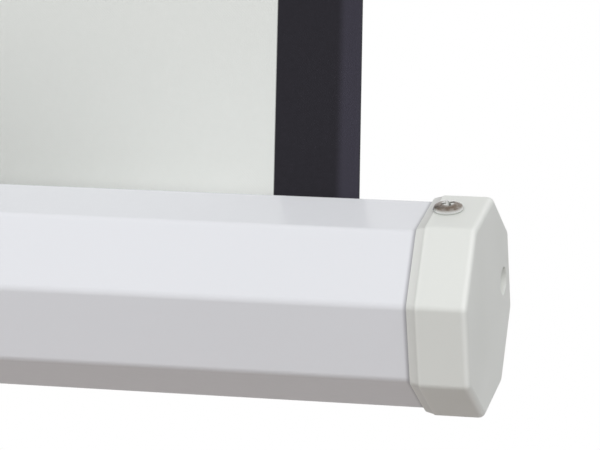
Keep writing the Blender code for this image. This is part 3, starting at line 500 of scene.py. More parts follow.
# Shares of the head's radius and distances below its top
screw_crown = (
    (0.0, 0.0), (0.35, 0.00005), (0.46, 0.00013), (0.56, 0.00023), (0.64, 0.00033),
    (0.72, 0.0005), (0.80, 0.0007), (0.87, 0.00093), (0.93, 0.0012), (0.99, 0.0017),
)
recess_reach = 0.0027
recess_half_width = 0.00055
recess_depth = 0.0017
recess_twist = 0.5
# Painted dark reflection: where it starts and ends across the head, and how weak it is over the middle and
# on the upper rear side
reflection_from = 0.36
reflection_to = 0.98
reflection_fade = 0.1
recess_reflection = 0.12
bright_side_from = 0.28
bright_side_over = 0.16
bright_side_reflection = 0.1


def screw_place(side):
    across = math.radians(112.5)
    outward = Vector((0, math.cos(across), math.sin(across)))
    along = Vector((1, 0, 0))
    rearward = outward.cross(along)
    seat = Vector((side * (case_end - screw_inboard), case_centre.y, case_centre.z))
    seat += outward * cap_flats / 2 + rearward * screw_rearward
    return Matrix.Translation(seat) @ Matrix((along, rearward, outward)).transposed().to_4x4()


def cross_recess(place):
    """A cutter with four wings that taper to the floor of the recess."""
    rings = []
    for height, share in ((screw_rise - recess_depth, 0.35), (screw_rise + 0.0003, 1.0)):
        root = recess_half_width * share * 1.3
        tip = recess_half_width * (0.5 + share / 2)
        ring = []
        for quarter in range(4):
            turn = Matrix.Rotation(recess_twist + quarter * math.pi / 2, 4, "Z")
            for x, y in ((root, -root), (recess_reach * share, -tip), (recess_reach * share, tip)):
                ring.append(place @ turn @ Vector((x, y, height)))
        rings.append(ring)
    return skinned("cross_recess", rings)


def screw_metal():
    """Bright nickel, with a patchy brown painted reflection where the mesh's attribute asks for it."""
    look = new_look("nickel_plate")
    tree = look.node_tree
    rates = {"Grain per metre": 3000, "Mottle per metre": 900}
    mottle = put(tree, "ShaderNodeGroup", rates, node_tree=skin).outputs["Mottle"]
    painted_reflection = put(tree, "ShaderNodeAttribute", attribute_name="painted_reflection").outputs["Fac"]
    patchy = calc(tree, "MULTIPLY", painted_reflection, ranged(tree, mottle, 0.35, 0.6, 0.75, 1.0))
    fill(tree, tree.nodes["Principled BSDF"], {
        "Metallic": 1.0,
        "Base Color": mixed(tree, patchy, (0.67, 0.68, 0.665), (0.19, 0.152, 0.122)),
        "Roughness": ranged(tree, patchy, 0.0, 1.0, 0.18, 0.34),
    })
    return look


nickel = screw_metal()
screw_profile = [(screw_head * share, screw_rise - drop) for share, drop in screw_crown]
screw_profile += [
    (screw_head, 0.0005), (screw_head * 0.98, 0.0002), (screw_head * 0.96, screw_seat),
    (screw_shank, screw_seat), (screw_shank, -shank_end), (0.0, -screw_tip),
]
for side, name in both_ends:
    place = screw_place(side)
    head = cut(turned(screw_profile, place, steps=56), cross_recess(place))
    # Painted reflection: a brown band round the crown, left off the upper rear side so that its rim shows
    # bright
    painted_reflection = head.attributes.new("painted_reflection", "FLOAT", "POINT")
    to_head = place.inverted()
    for i, vertex in enumerate(head.vertices):
        local = (to_head @ vertex.co) / screw_head
        reach = local.xy.length
        painted_reflection.data[i].value = min(
            1.0,
            max(recess_reflection, (reach - reflection_from) / reflection_fade),
            max(0.0, (reflection_to - reach) / reflection_fade),
            max(bright_side_reflection, 1.0 - (local.y - bright_side_from) / bright_side_over),
        )
    shown(f"{name}_pan_screw", head, nickel, "case", "nickel_screw", f"{name}_cap_screw", sharp=40)

# Screen cloth. Matte white vinyl-coated fabric with a black masking border down both sides and
# along the top. It hangs straight from the slat into the slot, and its edges curl a little forward.
cloth_low, cloth_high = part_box("screen_fabric")
cloth_width = cloth_high.x - cloth_low.x
cloth_length = cloth_high.z - cloth_low.z
cloth_y = (cloth_low.y + cloth_high.y) / 2
cloth_gauge = 0.0006
border_width = 0.0296
border_blur = 0.0002
thread_rate = 2000
thread_relief = 0.000012
# Painted highlight along the border's outer edges
edge_highlight_width = 0.009
# Painted shade low on the white cloth, away from the borders
low_shade_height = 0.13
low_shade_inset = 0.12
held_height = 0.10
held_curl = 0.1
curl_width = 0.012
curl_depth = 0.0020
curl_columns = 8
flat_columns = 110
cloth_rows = 80
necking = 0.0072
ripple_depth = 0.0005
ripple_rate = 7.0
ripple_start = 0.6


def hanging_point(x, up):
    """Where a point of the flat cut hangs, x from the middle and up from the bottom."""
    half = cloth_width / 2
    hold = min(1.0, up / held_height, (cloth_length - up) / held_height)
    into_curl = max(0.0, (abs(x) - (half - curl_width)) / curl_width)
    forward = curl_depth * into_curl ** 2 * (held_curl + (1.0 - held_curl) * hold)
    ripple = ripple_depth * math.sin(ripple_rate * x + ripple_start) * math.sin(math.pi * up / cloth_length)
    drawn_in = necking * 4 * (up / cloth_length) * (1 - up / cloth_length) * (x / half) * abs(x / half)
    return x - drawn_in, cloth_y + ripple - forward, cloth_low.z + up


def cloth_sheet():
    """The sheet as a grid. Its UV map holds the flat cut, in metres from the bottom middle."""
    half = cloth_width / 2
    flat_half = half - curl_width
    across = [-half + curl_width * i / curl_columns for i in range(curl_columns)]
    across += [2 * flat_half * i / flat_columns - flat_half for i in range(flat_columns + 1)]
    across += [flat_half + curl_width * i / curl_columns for i in range(1, curl_columns + 1)]
    heights = [cloth_length * row / cloth_rows for row in range(cloth_rows + 1)]
    bm = bmesh.new()
    flat = bm.loops.layers.uv.new("flat_cut")
    grid = [[(bm.verts.new(hanging_point(x, up)), (x, up)) for x in across] for up in heights]
    for lower, upper in zip(grid, grid[1:]):
        for i in range(len(across) - 1):
            corners = (lower[i], lower[i + 1], upper[i + 1], upper[i])
            face = bm.faces.new([vertex for vertex, _ in corners])
            for loop, (_, cut_at) in zip(face.loops, corners):
                loop[flat].uv = cut_at
    return as_mesh(bm, "cloth_sheet")


def plain_weave():
    """Shared effect for cloth: over and under threads from a flat-cut UV map in metres."""
    group = bpy.data.node_groups.new("plain_weave", "ShaderNodeTree")
    socket(group, "Threads per metre", "NodeSocketFloat", value=1000.0)
    socket(group, "Height", "NodeSocketFloat", "OUTPUT")
    socket(group, "Slub", "NodeSocketFloat", "OUTPUT")
    rate = put(group, "NodeGroupInput").outputs["Threads per metre"]
    flat = wired(group, "ShaderNodeUVMap", uv_map="flat_cut")
    threads = wired(group, "ShaderNodeVectorMath", {0: flat, "Scale": rate}, operation="SCALE")
    axes = put(group, "ShaderNodeSeparateXYZ", {"Vector": threads}).outputs
    waves = [calc(group, "SINE", calc(group, "MULTIPLY", axes[axis], math.pi)) for axis in ("X", "Y")]
    put(group, "NodeGroupOutput", {
        "Height": calc(group, "MULTIPLY", *waves), "Slub": noise(group, threads, 0.25, 4.0),
    })
    return group


weave = plain_weave()


def screen_cloth():
    """White vinyl with painted shade low down, away from the borders, and a black border with a painted
    highlight along its outer edges.
    """
    look = new_look("screen_cloth")
    tree = look.node_tree
    half = cloth_width / 2
    flat = wired(tree, "ShaderNodeUVMap", uv_map="flat_cut")
    axes = put(tree, "ShaderNodeSeparateXYZ", {"Vector": flat}).outputs
    across = calc(tree, "ABSOLUTE", axes["X"])
    masks = []
    for place, edge in ((across, half), (axes["Y"], cloth_length)):
        line = edge - border_width
        masks.append(ranged(tree, place, line - border_blur, line + border_blur))
    border = calc(tree, "MAXIMUM", *masks)
    effect = put(tree, "ShaderNodeGroup", {"Threads per metre": thread_rate}, node_tree=weave).outputs
    inside = half - border_width
    # Painted shade: the white greys towards the bottom, away from the side borders
    low = ranged(tree, axes["Y"], low_shade_height, 0.0, kind="SMOOTHSTEP")
    inner = ranged(tree, across, inside, inside - low_shade_inset, kind="SMOOTHSTEP")
    vinyl = mixed(tree, effect["Slub"], (0.785, 0.802, 0.775), (0.765, 0.782, 0.755))
    shaded_vinyl = mixed(tree, calc(tree, "MULTIPLY", low, inner), vinyl, (0.535, 0.548, 0.525))
    black = mixed(tree, effect["Slub"], (0.0165, 0.0152, 0.0200), (0.0215, 0.0200, 0.0265))
    # Painted highlight: the black border pales towards its outer edges
    rubbed_and_lit = ranged(tree, across, half - edge_highlight_width, half - edge_highlight_width * 0.6, kind="SMOOTHSTEP")
    highlit_black = mixed(tree, rubbed_and_lit, black, (0.043, 0.040, 0.056))
    fill(tree, tree.nodes["Principled BSDF"], {
        "Base Color": mixed(tree, border, shaded_vinyl, highlit_black),
        "Roughness": ranged(tree, border, 0.0, 1.0, 0.9, 0.6),
        "Specular IOR Level": 0.15,
        "Normal": wired(tree, "ShaderNodeBump", {"Distance": thread_relief, "Height": effect["Height"]}),
    })
    return look


backing = finish(
    "cloth_backing", (0.031, 0.031, 0.034), (0.027, 0.027, 0.030), 1800, 30, 0.00002, 0.62, 0.74,
)
cloth = shown(
    "screen_cloth", cloth_sheet(), screen_cloth(), "case", "screen_cloth", "screen_fabric", even=False,
)
cloth.data.materials.append(backing)
gauge = cloth.modifiers.new("gauge", "SOLIDIFY")
gauge.thickness = cloth_gauge
gauge.offset = 0.0
gauge.material_offset = 1
gauge.material_offset_rim = 1
# Wound in, what is left of the cloth spans from the roll to the parked slat
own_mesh(cloth)

# Top slat. A white enamelled tube with well-rounded corners, closed by a moulded plug at each end.
# The cloth's top hem is held in it.
slat_low, slat_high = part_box("top_slat")
slat_centre = (slat_low + slat_high) / 2
slat_round = 0.006
slat_wall = 0.0015
plug_thick = 0.003
plug_round = 0.0011
plug_gap = 0.0002
# Distances behind the plug's face and inside its outline
plug_dish = ((0.0, 0.0032), (0.0005, 0.0036))


def rounded_box(half_wide, half_high, corner, steps):
    """Points round a rectangle with rounded corners, one rounded quarter after the other."""
    points = []
    for quarter, (wide, high) in enumerate(((1, 1), (-1, 1), (-1, -1), (1, -1))):
        centre = Vector((wide * (half_wide - corner), high * (half_high - corner)))
        points += [centre + polar(corner, 90 * quarter + 90 * step / steps) for step in range(steps + 1)]
    return points


def slat_ring(x, inset, corner=None):
    """A rounded rectangle across the slat at x, that far inside its outline."""
    half = (slat_high - slat_low) / 2
    corner = slat_round - inset if corner is None else corner
    outline = rounded_box(half.y - inset, half.z - inset, corner, 8)
    return [(x, slat_centre.y + rear, slat_centre.z + up) for rear, up in outline]


slat_tube = skinned("slat_tube", [
    slat_ring(slat_low.x, 0.0), slat_ring(slat_high.x, 0.0),
    slat_ring(slat_high.x, slat_wall), slat_ring(slat_low.x, slat_wall),
], "joined")
shown("slat_tube", slat_tube, gloss_enamel, "slat", "slat_enamel", "top_slat")
for side, name in both_ends:
    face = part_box(f"{name}_slat_plug")[side > 0].x
    seat = face - side * plug_thick
    rings = [slat_ring(seat, slat_wall), slat_ring(seat, plug_gap, slat_round)]
    rings += [slat_ring(face - side * fall, plug_gap + inward) for fall, inward in rounding(plug_round, 5)]
    rings += [slat_ring(face - side * depth, inset) for depth, inset in plug_dish]
    plug = skinned("slat_end", rings)
    shown(f"{name}_slat_end", plug, cap_plastic, "slat", "fitting_plastic", f"{name}_slat_plug")

# Hanging bail. A loop of bright zinc-plated wire that swings in the plastic lug on the slat and
# hangs on the mast's hook.
bail_low, bail_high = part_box("hanging_bail")
wire_radius = 0.002
wire_bend = 0.0045
wire_end = 0.010


def eased_path(points, radius, steps=6):
    """The points as a line whose inner corners are rounded to the radius."""
    path = [Vector(points[0])]
    for before, corner, after in zip(points, points[1:], points[2:]):
        corner = Vector(corner)
        back = (Vector(before) - corner).normalized()
        ahead = (Vector(after) - corner).normalized()
        reach = radius / math.tan(back.angle(ahead) / 2)
        start, end = corner + back * reach, corner + ahead * reach
        for step in range(steps + 1):
            share = step / steps
            path.append(start.lerp(corner, share).lerp(corner.lerp(end, share), share))
    path.append(Vector(points[-1]))
    return path


def merged(mesh):
    """The mesh with its doubles merged and its faces turned outwards."""
    bm = bmesh.new()
    bm.from_mesh(mesh)
    return sealed(bm, mesh.name)


def drawn_wire(points, radius, sides=16):
    """A round wire along a line, with flat cut ends."""
    line = bpy.data.curves.new("wire", "CURVE")
    line.dimensions = "3D"
    line.bevel_depth = radius
    line.bevel_resolution = sides // 4 - 1
    line.use_fill_caps = True
    spline = line.splines.new("POLY")
    spline.points.add(len(points) - 1)
    for point, place in zip(spline.points, points):
        point.co = (*place, 1.0)
    return merged(plain_mesh(placed("wire", line)))


zinc = finish(
    "bright_zinc", (0.60, 0.60, 0.62), (0.46, 0.46, 0.48), 900, 60, 0.00001, 0.24, 0.36, Metallic=0.65,
)
half_bail = bail_high.x - wire_radius
pivot_y, pivot_z = bail_low.y + wire_radius, bail_low.z + wire_radius
bar_y, bar_z = bail_high.y - wire_radius, bail_high.z - wire_radius
bail_line = eased_path([
    (-wire_end, pivot_y, pivot_z), (-half_bail, pivot_y, pivot_z), (-half_bail, bar_y, bar_z),
    (half_bail, bar_y, bar_z), (half_bail, pivot_y, pivot_z), (wire_end, pivot_y, pivot_z),
], wire_bend)
shown("bail_wire", drawn_wire(bail_line, wire_radius), zinc, "bail", "zinc_steel", "hanging_bail")


def eased_copy(name, node, look, body, slot, width, segments=3, sharp=32):
    """A moulded or machined piece with the CAD solid's shape and its edges rounded off."""
    bm = bmesh.new()
    bm.from_mesh(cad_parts[node].data)
    bmesh.ops.remove_doubles(bm, verts=bm.verts, dist=0.000005)
    bmesh.ops.dissolve_limit(bm, angle_limit=math.radians(1.0), verts=bm.verts, edges=bm.edges)
    made = shown(name, as_mesh(bm, name), look, body, slot, node, sharp=180, even=False)
    edge = made.modifiers.new("eased_edges", "BEVEL")
    edge.width = width
    edge.segments = segments
    edge.limit_method = "ANGLE"
    edge.angle_limit = math.radians(sharp)
    edge.use_clamp_overlap = True
    even_normals(made)


eased_copy("bail_lug", "bail_bracket", cap_plastic, "slat", "fitting_plastic", 0.0006)

# Column. A steel tube with a silver-grey powder coat, plugged at the foot. The mast of drawn
# aluminium slides in it and is held by the clamp collar on its top.
column_low, column_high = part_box("column_tube")
column_axis = (column_low + column_high) / 2
column_axis.z = 0.0
column_radius = (column_high.x - column_low.x) / 2
column_wall = 0.0012
mast_low, mast_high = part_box("mast_tube")
mast_radius = (mast_high.x - mast_low.x) / 2
mast_wall = 0.001
tube_edge = 0.0003
rub_rate = (900.0, 900.0, 9.0)
rub_strength = 0.25
upright = Matrix.Translation(column_axis)


def tube(low, high, radius, wall):
    """A cut length of upright tube with its edges broken."""
    inner = radius - wall
    return turned([
        (radius - tube_edge, high), (radius, high - tube_edge), (radius, low + tube_edge),
        (radius - tube_edge, low), (inner, low), (inner, high),
    ], upright, 64, "joined")


def rubbed_finish(name, pale, deep, rubbed_and_lit, grain, relief, smooth, rough, **sockets):
    """A coat with faint upright rub marks, where the sliding pieces and hands polish it."""
    look = finish(name, pale, deep, grain, 25, relief, smooth, rough, **sockets)
    tree = look.node_tree
    spot = put(tree, "ShaderNodeTexCoord").outputs["Object"]
    drawn_out = wired(tree, "ShaderNodeMapping", {"Vector": spot, "Scale": rub_rate})
    streak = noise(tree, drawn_out, 1.0, 2.0)
    tint(look, ranged(tree, streak, 0.60, 0.75, 0.0, rub_strength), rubbed_and_lit)
    return look


silver_coat = rubbed_finish(
    "silver_coat", (0.47, 0.475, 0.485), (0.43, 0.435, 0.445), (0.58, 0.585, 0.59),
    1400, 0.00003, 0.34, 0.42, Metallic=0.35,
)
drawn_aluminium = rubbed_finish(
    "drawn_aluminium", (0.66, 0.66, 0.67), (0.62, 0.62, 0.63), (0.57, 0.57, 0.58),
    1200, 0.000008, 0.24, 0.34, Metallic=0.55,
)
black_plastic = finish(
    "black_plastic", (0.030, 0.030, 0.032), (0.022, 0.022, 0.024), 1500, 60, 0.00003, 0.40, 0.50,
)
column = tube(column_low.z, column_high.z, column_radius, column_wall)
shown("column", column, silver_coat, "stand", "column_enamel", "column_tube")
mast = tube(mast_low.z, mast_high.z, mast_radius, mast_wall)
shown("mast", mast, drawn_aluminium, "mast", "mast_aluminium", "mast_tube")
eased_copy("column_foot_plug", "column_plug", black_plastic, "stand", "dark_plastic", 0.0006)
eased_copy("mast_clamp_collar", "mast_clamp", black_plastic, "stand", "fitting_plastic", 0.0008)

# Mast top. A moulded cap on the mast with a hook at its front, whose raised lip keeps the bail on.
# It is pushed onto the mast's end with its skirt round the outside.
hook_low, hook_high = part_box("mast_top")
crown_radius = 0.0145
crown_round = 0.0055
skirt_edge = 0.0009
mast_gap = 0.0003
hook_half_width = 0.006
hook_root = 0.012
hook_reach = column_axis.y - hook_low.y
hook_lip = 0.0025
hook_rise = 0.003
hook_depth = 0.010
hook_slope = 0.007
hook_bend = 0.0011
hook_seat = bar_z - wire_radius - mast_gap
# Distances in from the hook's side and the share of its full outline there
hook_easing = ((0.0, 0.93), (0.0003, 0.98), (0.0009, 1.0))
inside_radius = mast_radius + mast_gap
inside_top = mast_high.z + mast_gap
crown = [(crown_radius - fall, hook_high.z - drop) for fall, drop in rounding(crown_round, 8)]
cap_shape = turned([(0.0, hook_high.z)] + crown + [
    (crown_radius, hook_low.z + skirt_edge),
    (crown_radius - skirt_edge * 0.3, hook_low.z + skirt_edge * 0.3),
    (crown_radius - skirt_edge, hook_low.z), (inside_radius, hook_low.z),
    (inside_radius, inside_top), (0.0, inside_top),
], upright, 64)
hook_line = eased_path([
    (0, -hook_root, hook_seat - hook_depth * 0.5), (0, -hook_root, hook_seat),
    (0, hook_lip - hook_reach, hook_seat), (0, hook_lip - hook_reach, hook_seat + hook_rise),
    (0, -hook_reach, hook_seat + hook_rise), (0, -hook_reach, hook_seat - hook_rise),
    (0, hook_slope - hook_reach, hook_seat - hook_slope), (0, -hook_root, hook_seat - hook_depth),
    (0, -hook_root, hook_seat - hook_depth * 0.5),
], hook_bend, 4)[:-1]
middle = sum(hook_line, Vector()) / len(hook_line)
stations = [(inward - hook_half_width, share) for inward, share in hook_easing]
stations += [(-across, share) for across, share in reversed(stations)]
hook_shape = skinned("hook", [
    [upright @ (middle + (point - middle) * share + Vector((across, 0, 0))) for point in hook_line]
    for across, share in stations
])
mast_hook = cut(cap_shape, hook_shape, "UNION")
shown("mast_hook", mast_hook, black_plastic, "mast", "fitting_plastic", "mast_top", sharp=38)

# Carrier and saddle. The plastic carrier slides on the column and is clamped by its knob; the
# pressed saddle riveted to the case turns on its pin.
eased_copy("carrier_body", "case_carrier", black_plastic, "carrier", "fitting_plastic", 0.0008)
eased_copy("saddle_block", "case_saddle", gloss_enamel, "case", "case_enamel", 0.0008)

# Clamp knobs. Six-lobed black knobs moulded onto threaded zinc studs, with a recessed face and a
# round hub that bears on the clamp.
knob_radius = 0.019
knob_lobes = 6
knob_lobe_depth = 0.0022
knob_edge = 0.0028
knob_points = 96
knob_hub = 0.0078
knob_hub_height = 0.0039
knob_base = 0.004
# Distances behind the knob's face and inside its outline
knob_dish = ((0.0, 0.0058), (0.0012, 0.0066), (0.0012, 0.0120))


def knob_ring(place, height, inset):
    """A lobed ring that far inside the knob's outline, with deeper hollows further in."""
    depth = knob_lobe_depth + 0.15 * min(inset, 0.004)
    turns = [2 * math.pi * i / knob_points for i in range(knob_points)]
    hollows = [(1 - math.cos(knob_lobes * turn)) / 2 for turn in turns]
    return ring_of(place, height, [knob_radius - inset - depth * hollow for hollow in hollows])


for body, knob in (("mast_clamp_screw", "mast_clamp_knob"), ("case_clamp_screw", "case_clamp_knob")):
    low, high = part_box(knob)
    centre = (low + high) / 2
    # Local Z runs to the rear, out along the stud
    place = Matrix.Translation((centre.x, 0, centre.z)) @ Matrix.Rotation(math.radians(-90), 4, "X")
    edge = rounding(knob_edge, 6)
    base = low.y + knob_base
    rings = [ring_of(place, low.y + rise, [knob_hub] * knob_points) for rise in (0.0, knob_hub_height)]
    rings += [knob_ring(place, base + fall * 0.6, inset) for fall, inset in reversed(edge)]
    rings += [knob_ring(place, high.y - fall, inset) for fall, inset in (*edge, *knob_dish)]
    shown(f"{body}_grip", skinned("grip", rings), black_plastic, body, "dark_plastic", knob, sharp=40)

# Hub and collar. Moulded black rings: the hub is fixed low on the column and its cheeks carry the
# braces; the collar slides above it and its tongues carry the legs.
eased_copy("hub_ring", "lower_hub", black_plastic, "stand", "fitting_plastic", 0.0006)
eased_copy("collar_ring", "leg_collar", black_plastic, "leg_collar", "fitting_plastic", 0.0006)

# Legs. Steel channels with rolled corners, open towards the column, coated like the column. A flat
# brace from the hub holds each one near its middle.
leg_length = 0.640
brace_length = 0.280
leg_spread = 52.0
foot_drop = 0.009
front_leg_turn = 20.0
pivot_circle = 0.032
channel_width = 0.020
channel_depth = 0.014
channel_sheet = 0.0012
channel_bend = 0.003
channel_head = 0.007
brace_half_depth = 0.0051
brace_half_width = 0.0025
brace_edge = 0.0007
# Shares of the brace's edge, down from its flat face and inside its outline
broken_edge = ((0.0, 1.0), (0.3, 0.3), (1.0, 0.0))
brace_up = brace_length * math.cos(math.radians(leg_spread))
brace_out = brace_length * math.sin(math.radians(leg_spread))
leg_turns = (90.0, -front_leg_turn, 180.0 + front_leg_turn)
hub_z = foot_drop + leg_length * math.cos(math.radians(leg_spread)) - 2 * brace_up
collar_z = hub_z + 2 * brace_up


def spoke(leg_turn, height):
    """Local X runs out along a leg from the pivot circle, local Y up and local Z sideways."""
    turned_out = Matrix.Rotation(math.radians(leg_turn), 4, "Z") @ Matrix.Rotation(math.radians(90), 4, "X")
    out = Matrix.Translation((pivot_circle, 0, 0))
    return Matrix.Translation((0, column_axis.y, height)) @ turned_out @ out


def leg_space(leg_turn):
    """Z runs up the leg to its pivot in the collar, X to its outer side and Y sideways."""
    lean = Matrix.Rotation(math.radians(leg_spread), 4, "Z") @ Matrix.Rotation(math.radians(-90), 4, "X")
    return spoke(leg_turn, collar_z) @ lean


def channel_ring(place, height):
    """A closed ring round the channel's sheet: lip to lip on the outside and back on the inside."""
    lines = []
    half_width, half_depth = channel_width / 2, channel_depth / 2
    for wall in (0.0, channel_sheet):
        line = [(-half_depth, half_width - wall)]
        for side in (1, -1):
            centre = Vector((half_depth - channel_bend, side * (half_width - channel_bend)))
            for step in range(7):
                angle = 90 * step / 6 if side < 0 else 90 - 90 * step / 6
                line.append(centre + polar(channel_bend - wall, side * angle))
        line.append((-half_depth, wall - half_width))
        lines.append(line)
    return [place @ Vector((x, y, height)) for x, y in lines[0] + lines[1][::-1]]


def flat_bar(place, length, half_depth, half_width):
    """A bar along local Y with round ends and broken edges; its thickness is along local Z."""
    sides = [(brace_edge * down - half_width, brace_edge * inward) for down, inward in broken_edge]
    sides += [(-height, inset) for height, inset in reversed(sides)]
    rings = []
    for height, inset in sides:
        ring = []
        for end, start in ((length, 0), (0, 180)):
            for step in range(17):
                x, y = polar(half_depth - inset, start + 180 * step / 16)
                ring.append(place @ Vector((x, end + y, height)))
        rings.append(ring)
    return skinned("bar", rings)


for number, leg_turn in enumerate(leg_turns, 1):
    place = leg_space(leg_turn)
    heights = (-leg_length, -brace_length, 0.0, channel_head)
    channel = skinned("channel", [channel_ring(place, height) for height in heights])
    shown(f"leg_channel_{number}", channel, silver_coat, f"leg_{number}", "leg_enamel", f"leg_{number}")
    lean = spoke(leg_turn, hub_z) @ Matrix.Rotation(math.radians(-leg_spread), 4, "Z")
    bar = flat_bar(lean, brace_length, brace_half_depth, brace_half_width)
    shown(f"brace_bar_{number}", bar, silver_coat, f"brace_{number}", "leg_enamel", f"brace_{number}")

# Rivets. Domed zinc-plated steel rivets, all alike but for the grip between their heads: in the hub's
# cheeks, at the knees of the braces, through the tops of the legs, and in the saddle.
rivet_radius = 0.0025
rivet_head = 0.0045
rivet_head_height = 0.0015
rivet_sides = 24
cheek = 0.004
rivet_gap = 0.0003


def rivet_tree():
    """Turns grip lines into rivets: a shank with a domed head at each end of a line."""
    tree = bpy.data.node_groups.new("domed_rivet", "GeometryNodeTree")
    socket(tree, "Geometry", "NodeSocketGeometry")
    socket(tree, "Shank radius", "NodeSocketFloat", value=0.002)
    socket(tree, "Head radius", "NodeSocketFloat", value=0.004)
    socket(tree, "Head height", "NodeSocketFloat", value=0.001)
    socket(tree, "Metal", "NodeSocketMaterial")
    socket(tree, "Geometry", "NodeSocketGeometry", "OUTPUT")
    given = put(tree, "NodeGroupInput").outputs
    line = wired(tree, "GeometryNodeMeshToCurve", {"Mesh": given["Geometry"]})
    round_bar = {"Resolution": rivet_sides, "Radius": given["Shank radius"]}
    bore = wired(tree, "GeometryNodeCurvePrimitiveCircle", round_bar)
    cut_off = {"Curve": line, "Profile Curve": bore, "Fill Caps": True}
    shank = wired(tree, "GeometryNodeCurveToMesh", cut_off)
    sphere = {"Segments": rivet_sides, "Rings": rivet_sides // 2, "Radius": 1.0}
    ball = wired(tree, "GeometryNodeMeshUVSphere", sphere)
    size = wired(tree, "ShaderNodeCombineXYZ", {
        "X": given["Head radius"], "Y": given["Head radius"], "Z": given["Head height"],
    })
    dome = wired(tree, "GeometryNodeTransform", {"Geometry": ball, "Scale": size})
    ends = put(tree, "GeometryNodeCurveToPoints", {"Curve": line}, mode="EVALUATED").outputs
    heads = wired(tree, "GeometryNodeInstanceOnPoints", {
        "Points": ends["Points"], "Rotation": ends["Rotation"], "Instance": dome,
    })
    join = put(tree, "GeometryNodeJoinGeometry", {"Geometry": shank})
    fill(tree, join, {"Geometry": heads})
    real = wired(tree, "GeometryNodeRealizeInstances", {"Geometry": join.outputs["Geometry"]})
    dressed = wired(tree, "GeometryNodeSetMaterial", {"Geometry": real, "Material": given["Metal"]})
    put(tree, "NodeGroupOutput", {"Geometry": dressed})
    return tree


domed_rivet = rivet_tree()


def set_inputs(modifier, values):
    for item in modifier.node_group.interface.items_tree:
        if item.item_type == "SOCKET" and item.in_out == "INPUT" and item.name in values:
            modifier[item.identifier] = values[item.name]


def riveted(name, grips, body, *stands_for):
    """Rivets through a list of (place, half grip); the rivet lies along each place's local Z."""
    points, edges = [], []
    for place, half_grip in grips:
        edges.append((len(points), len(points) + 1))
        points += [place @ Vector((0, 0, end)) for end in (-half_grip, half_grip)]
    lines = bpy.data.meshes.new("grips")
    lines.from_pydata(points, edges, [])
    guide = placed("grips", lines)
    rule = guide.modifiers.new("rivets", "NODES")
    rule.node_group = domed_rivet
    set_inputs(rule, {
        "Shank radius": rivet_radius, "Head radius": rivet_head, "Head height": rivet_head_height,
        "Metal": zinc,
    })
    shown(name, merged(plain_mesh(guide)), zinc, body, "zinc_steel", *stands_for, sharp=50)


hub_grip = brace_half_width + cheek + 2 * rivet_gap
leg_grip = channel_width / 2 + rivet_gap
riveted(
    "hub_rivets", [(spoke(leg_turn, hub_z), hub_grip) for leg_turn in leg_turns], "stand",
    "hub_rivet_1", "hub_rivet_2", "hub_rivet_3",
)
for number, leg_turn in enumerate(leg_turns, 1):
    knee = spoke(leg_turn, hub_z) @ Matrix.Translation((brace_out, brace_up, 0))
    riveted(f"knee_rivet_head_{number}", [(knee, leg_grip)], f"brace_{number}", f"knee_rivet_{number}")
    top = spoke(leg_turn, collar_z)
    riveted(f"collar_rivet_head_{number}", [(top, leg_grip)], f"leg_{number}", f"collar_rivet_{number}")

# Saddle rivets. Two of the same rivets, one above the other, hold each end of the saddle to the back
# of the case.
saddle_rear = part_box("case_saddle")[1].y
saddle_rivet_reach = 0.038
saddle_rivet_rise = 0.011
saddle_grip = 0.002
facing_rear = Matrix.Rotation(math.radians(-90), 4, "X")
saddle_grips = []
for side in (-1, 1):
    for rise in (-saddle_rivet_rise, saddle_rivet_rise):
        spot = (side * saddle_rivet_reach, saddle_rear - saddle_grip, case_centre.z + rise)
        saddle_grips.append((Matrix.Translation(spot) @ facing_rear, saddle_grip))
riveted("saddle_rivets", saddle_grips, "case")

# Feet. Black rubber boots pushed over the ends of the legs, ribbed round the grip and moulded flat
# where they stand on the floor.
boot_wall = 0.0035
boot_grip = 0.034
boot_toe = 0.012
boot_corner = 0.0045
groove_count = 5
groove_first = 0.0190
groove_pitch = 0.0042
# Heights above the toe, above a groove's foot and above the boot's mouth, each with its inset
boot_sole = ((0.0, 0.0032), (0.0006, 0.0016), (0.0020, 0.0004), (0.0034, 0.0))
boot_groove = ((0.0, 0.0), (0.0004, 0.0008), (0.0013, 0.0008), (0.0017, 0.0))
boot_mouth = ((-0.0022, 0.0), (-0.0006, 0.0005), (0.0, 0.0014), (0.0, 0.0033), (-0.020, 0.0034))
slab_size = 0.2
rubber = finish(
    "foot_rubber", (0.020, 0.020, 0.020), (0.032, 0.032, 0.031), 1100, 70, 0.00005, 0.66, 0.80,
)


def boot_ring(place, height, inset):
    fit = rivet_gap + boot_wall - inset
    corner = max(boot_corner - inset * 0.5, 0.0015)
    outline = rounded_box(channel_depth / 2 + fit, channel_width / 2 + fit, corner, 6)
    return [place @ Vector((x, y, height)) for x, y in outline]


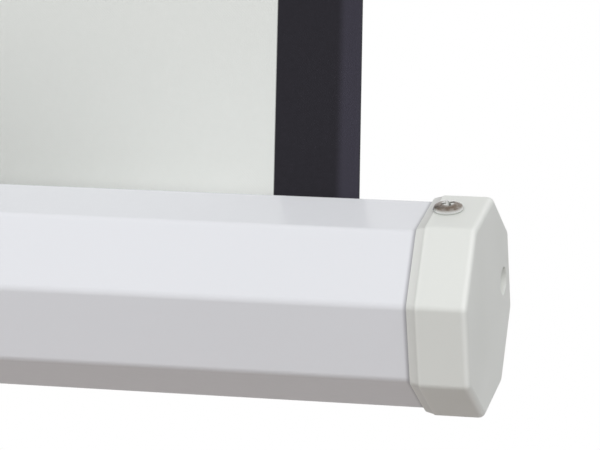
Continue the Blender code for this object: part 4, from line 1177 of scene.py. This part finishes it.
def floor_slab(over):
    """A block whose top is the floor, under the given point."""
    slab = bmesh.new()
    bmesh.ops.create_cube(slab, size=slab_size)
    bmesh.ops.translate(slab, verts=slab.verts, vec=(over.x, over.y, -slab_size / 2))
    return as_mesh(slab, "floor_slab")


for number, leg_turn in enumerate(leg_turns, 1):
    place = leg_space(leg_turn)
    toe, mouth = -boot_toe - leg_length, boot_grip - leg_length
    profile = [(toe + rise, inset) for rise, inset in boot_sole]
    for groove in range(groove_count):
        foot = toe + groove_first + groove * groove_pitch
        profile += [(foot + rise, inset) for rise, inset in boot_groove]
    profile += [(mouth + rise, inset) for rise, inset in boot_mouth]
    rings = [boot_ring(place, height, inset) for height, inset in profile]
    under = sum(rings[0], Vector()) / len(rings[0])
    boot = cut(skinned("boot", rings), floor_slab(under))
    shown(f"boot_{number}", boot, rubber, f"leg_{number}", "foot_rubber", f"foot_{number}", sharp=35)

# Spring roller. The turns of cloth left on the roller when the screen is up, backing outwards, on a
# seamed aluminium tube with a plug at each end.
roll_low, roll_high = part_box("fabric_winding")
roll_axis = (roll_low + roll_high) / 2
roll_outside = (roll_high.z - roll_low.z) / 2
roll_turns = 2
turn_steps = 72
turn_pitch = 0.0007
wound_gauge = 0.0005


def wound_cloth():
    """The last turns as one spiral sheet, with its cut edges showing at both ends."""
    outer, inner = [], []
    for step in range(turn_steps * roll_turns + 1):
        radius = roll_outside - turn_pitch * step / turn_steps
        outer.append(polar(radius, -360 * step / turn_steps))
        inner.append(polar(radius - wound_gauge, -360 * step / turn_steps))
    spiral = outer + inner[::-1]
    return skinned("wound_cloth", [
        [(x, roll_axis.y + rear, roll_axis.z + up) for rear, up in spiral] for x in (roll_low.x, roll_high.x)
    ])


shown("wound_cloth", wound_cloth(), backing, "roller", "screen_cloth", "fabric_winding")

# Inner hardware. Studs, pins, plugs, the tube and the spring keep their CAD shapes: zinc-plated steel,
# drawn aluminium and black nylon.
for look, names in (
    (zinc, ("swivel_pin", "mast_clamp_stud", "case_clamp_stud", "spring_arbor", "roller_spring")),
    (drawn_aluminium, ("roller_tube",)),
    (black_plastic, ("mast_guide", "idler_plug", "spring_plug")),
):
    for name in names:
        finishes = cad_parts[name].data.materials
        finishes.clear()
        finishes.append(look)
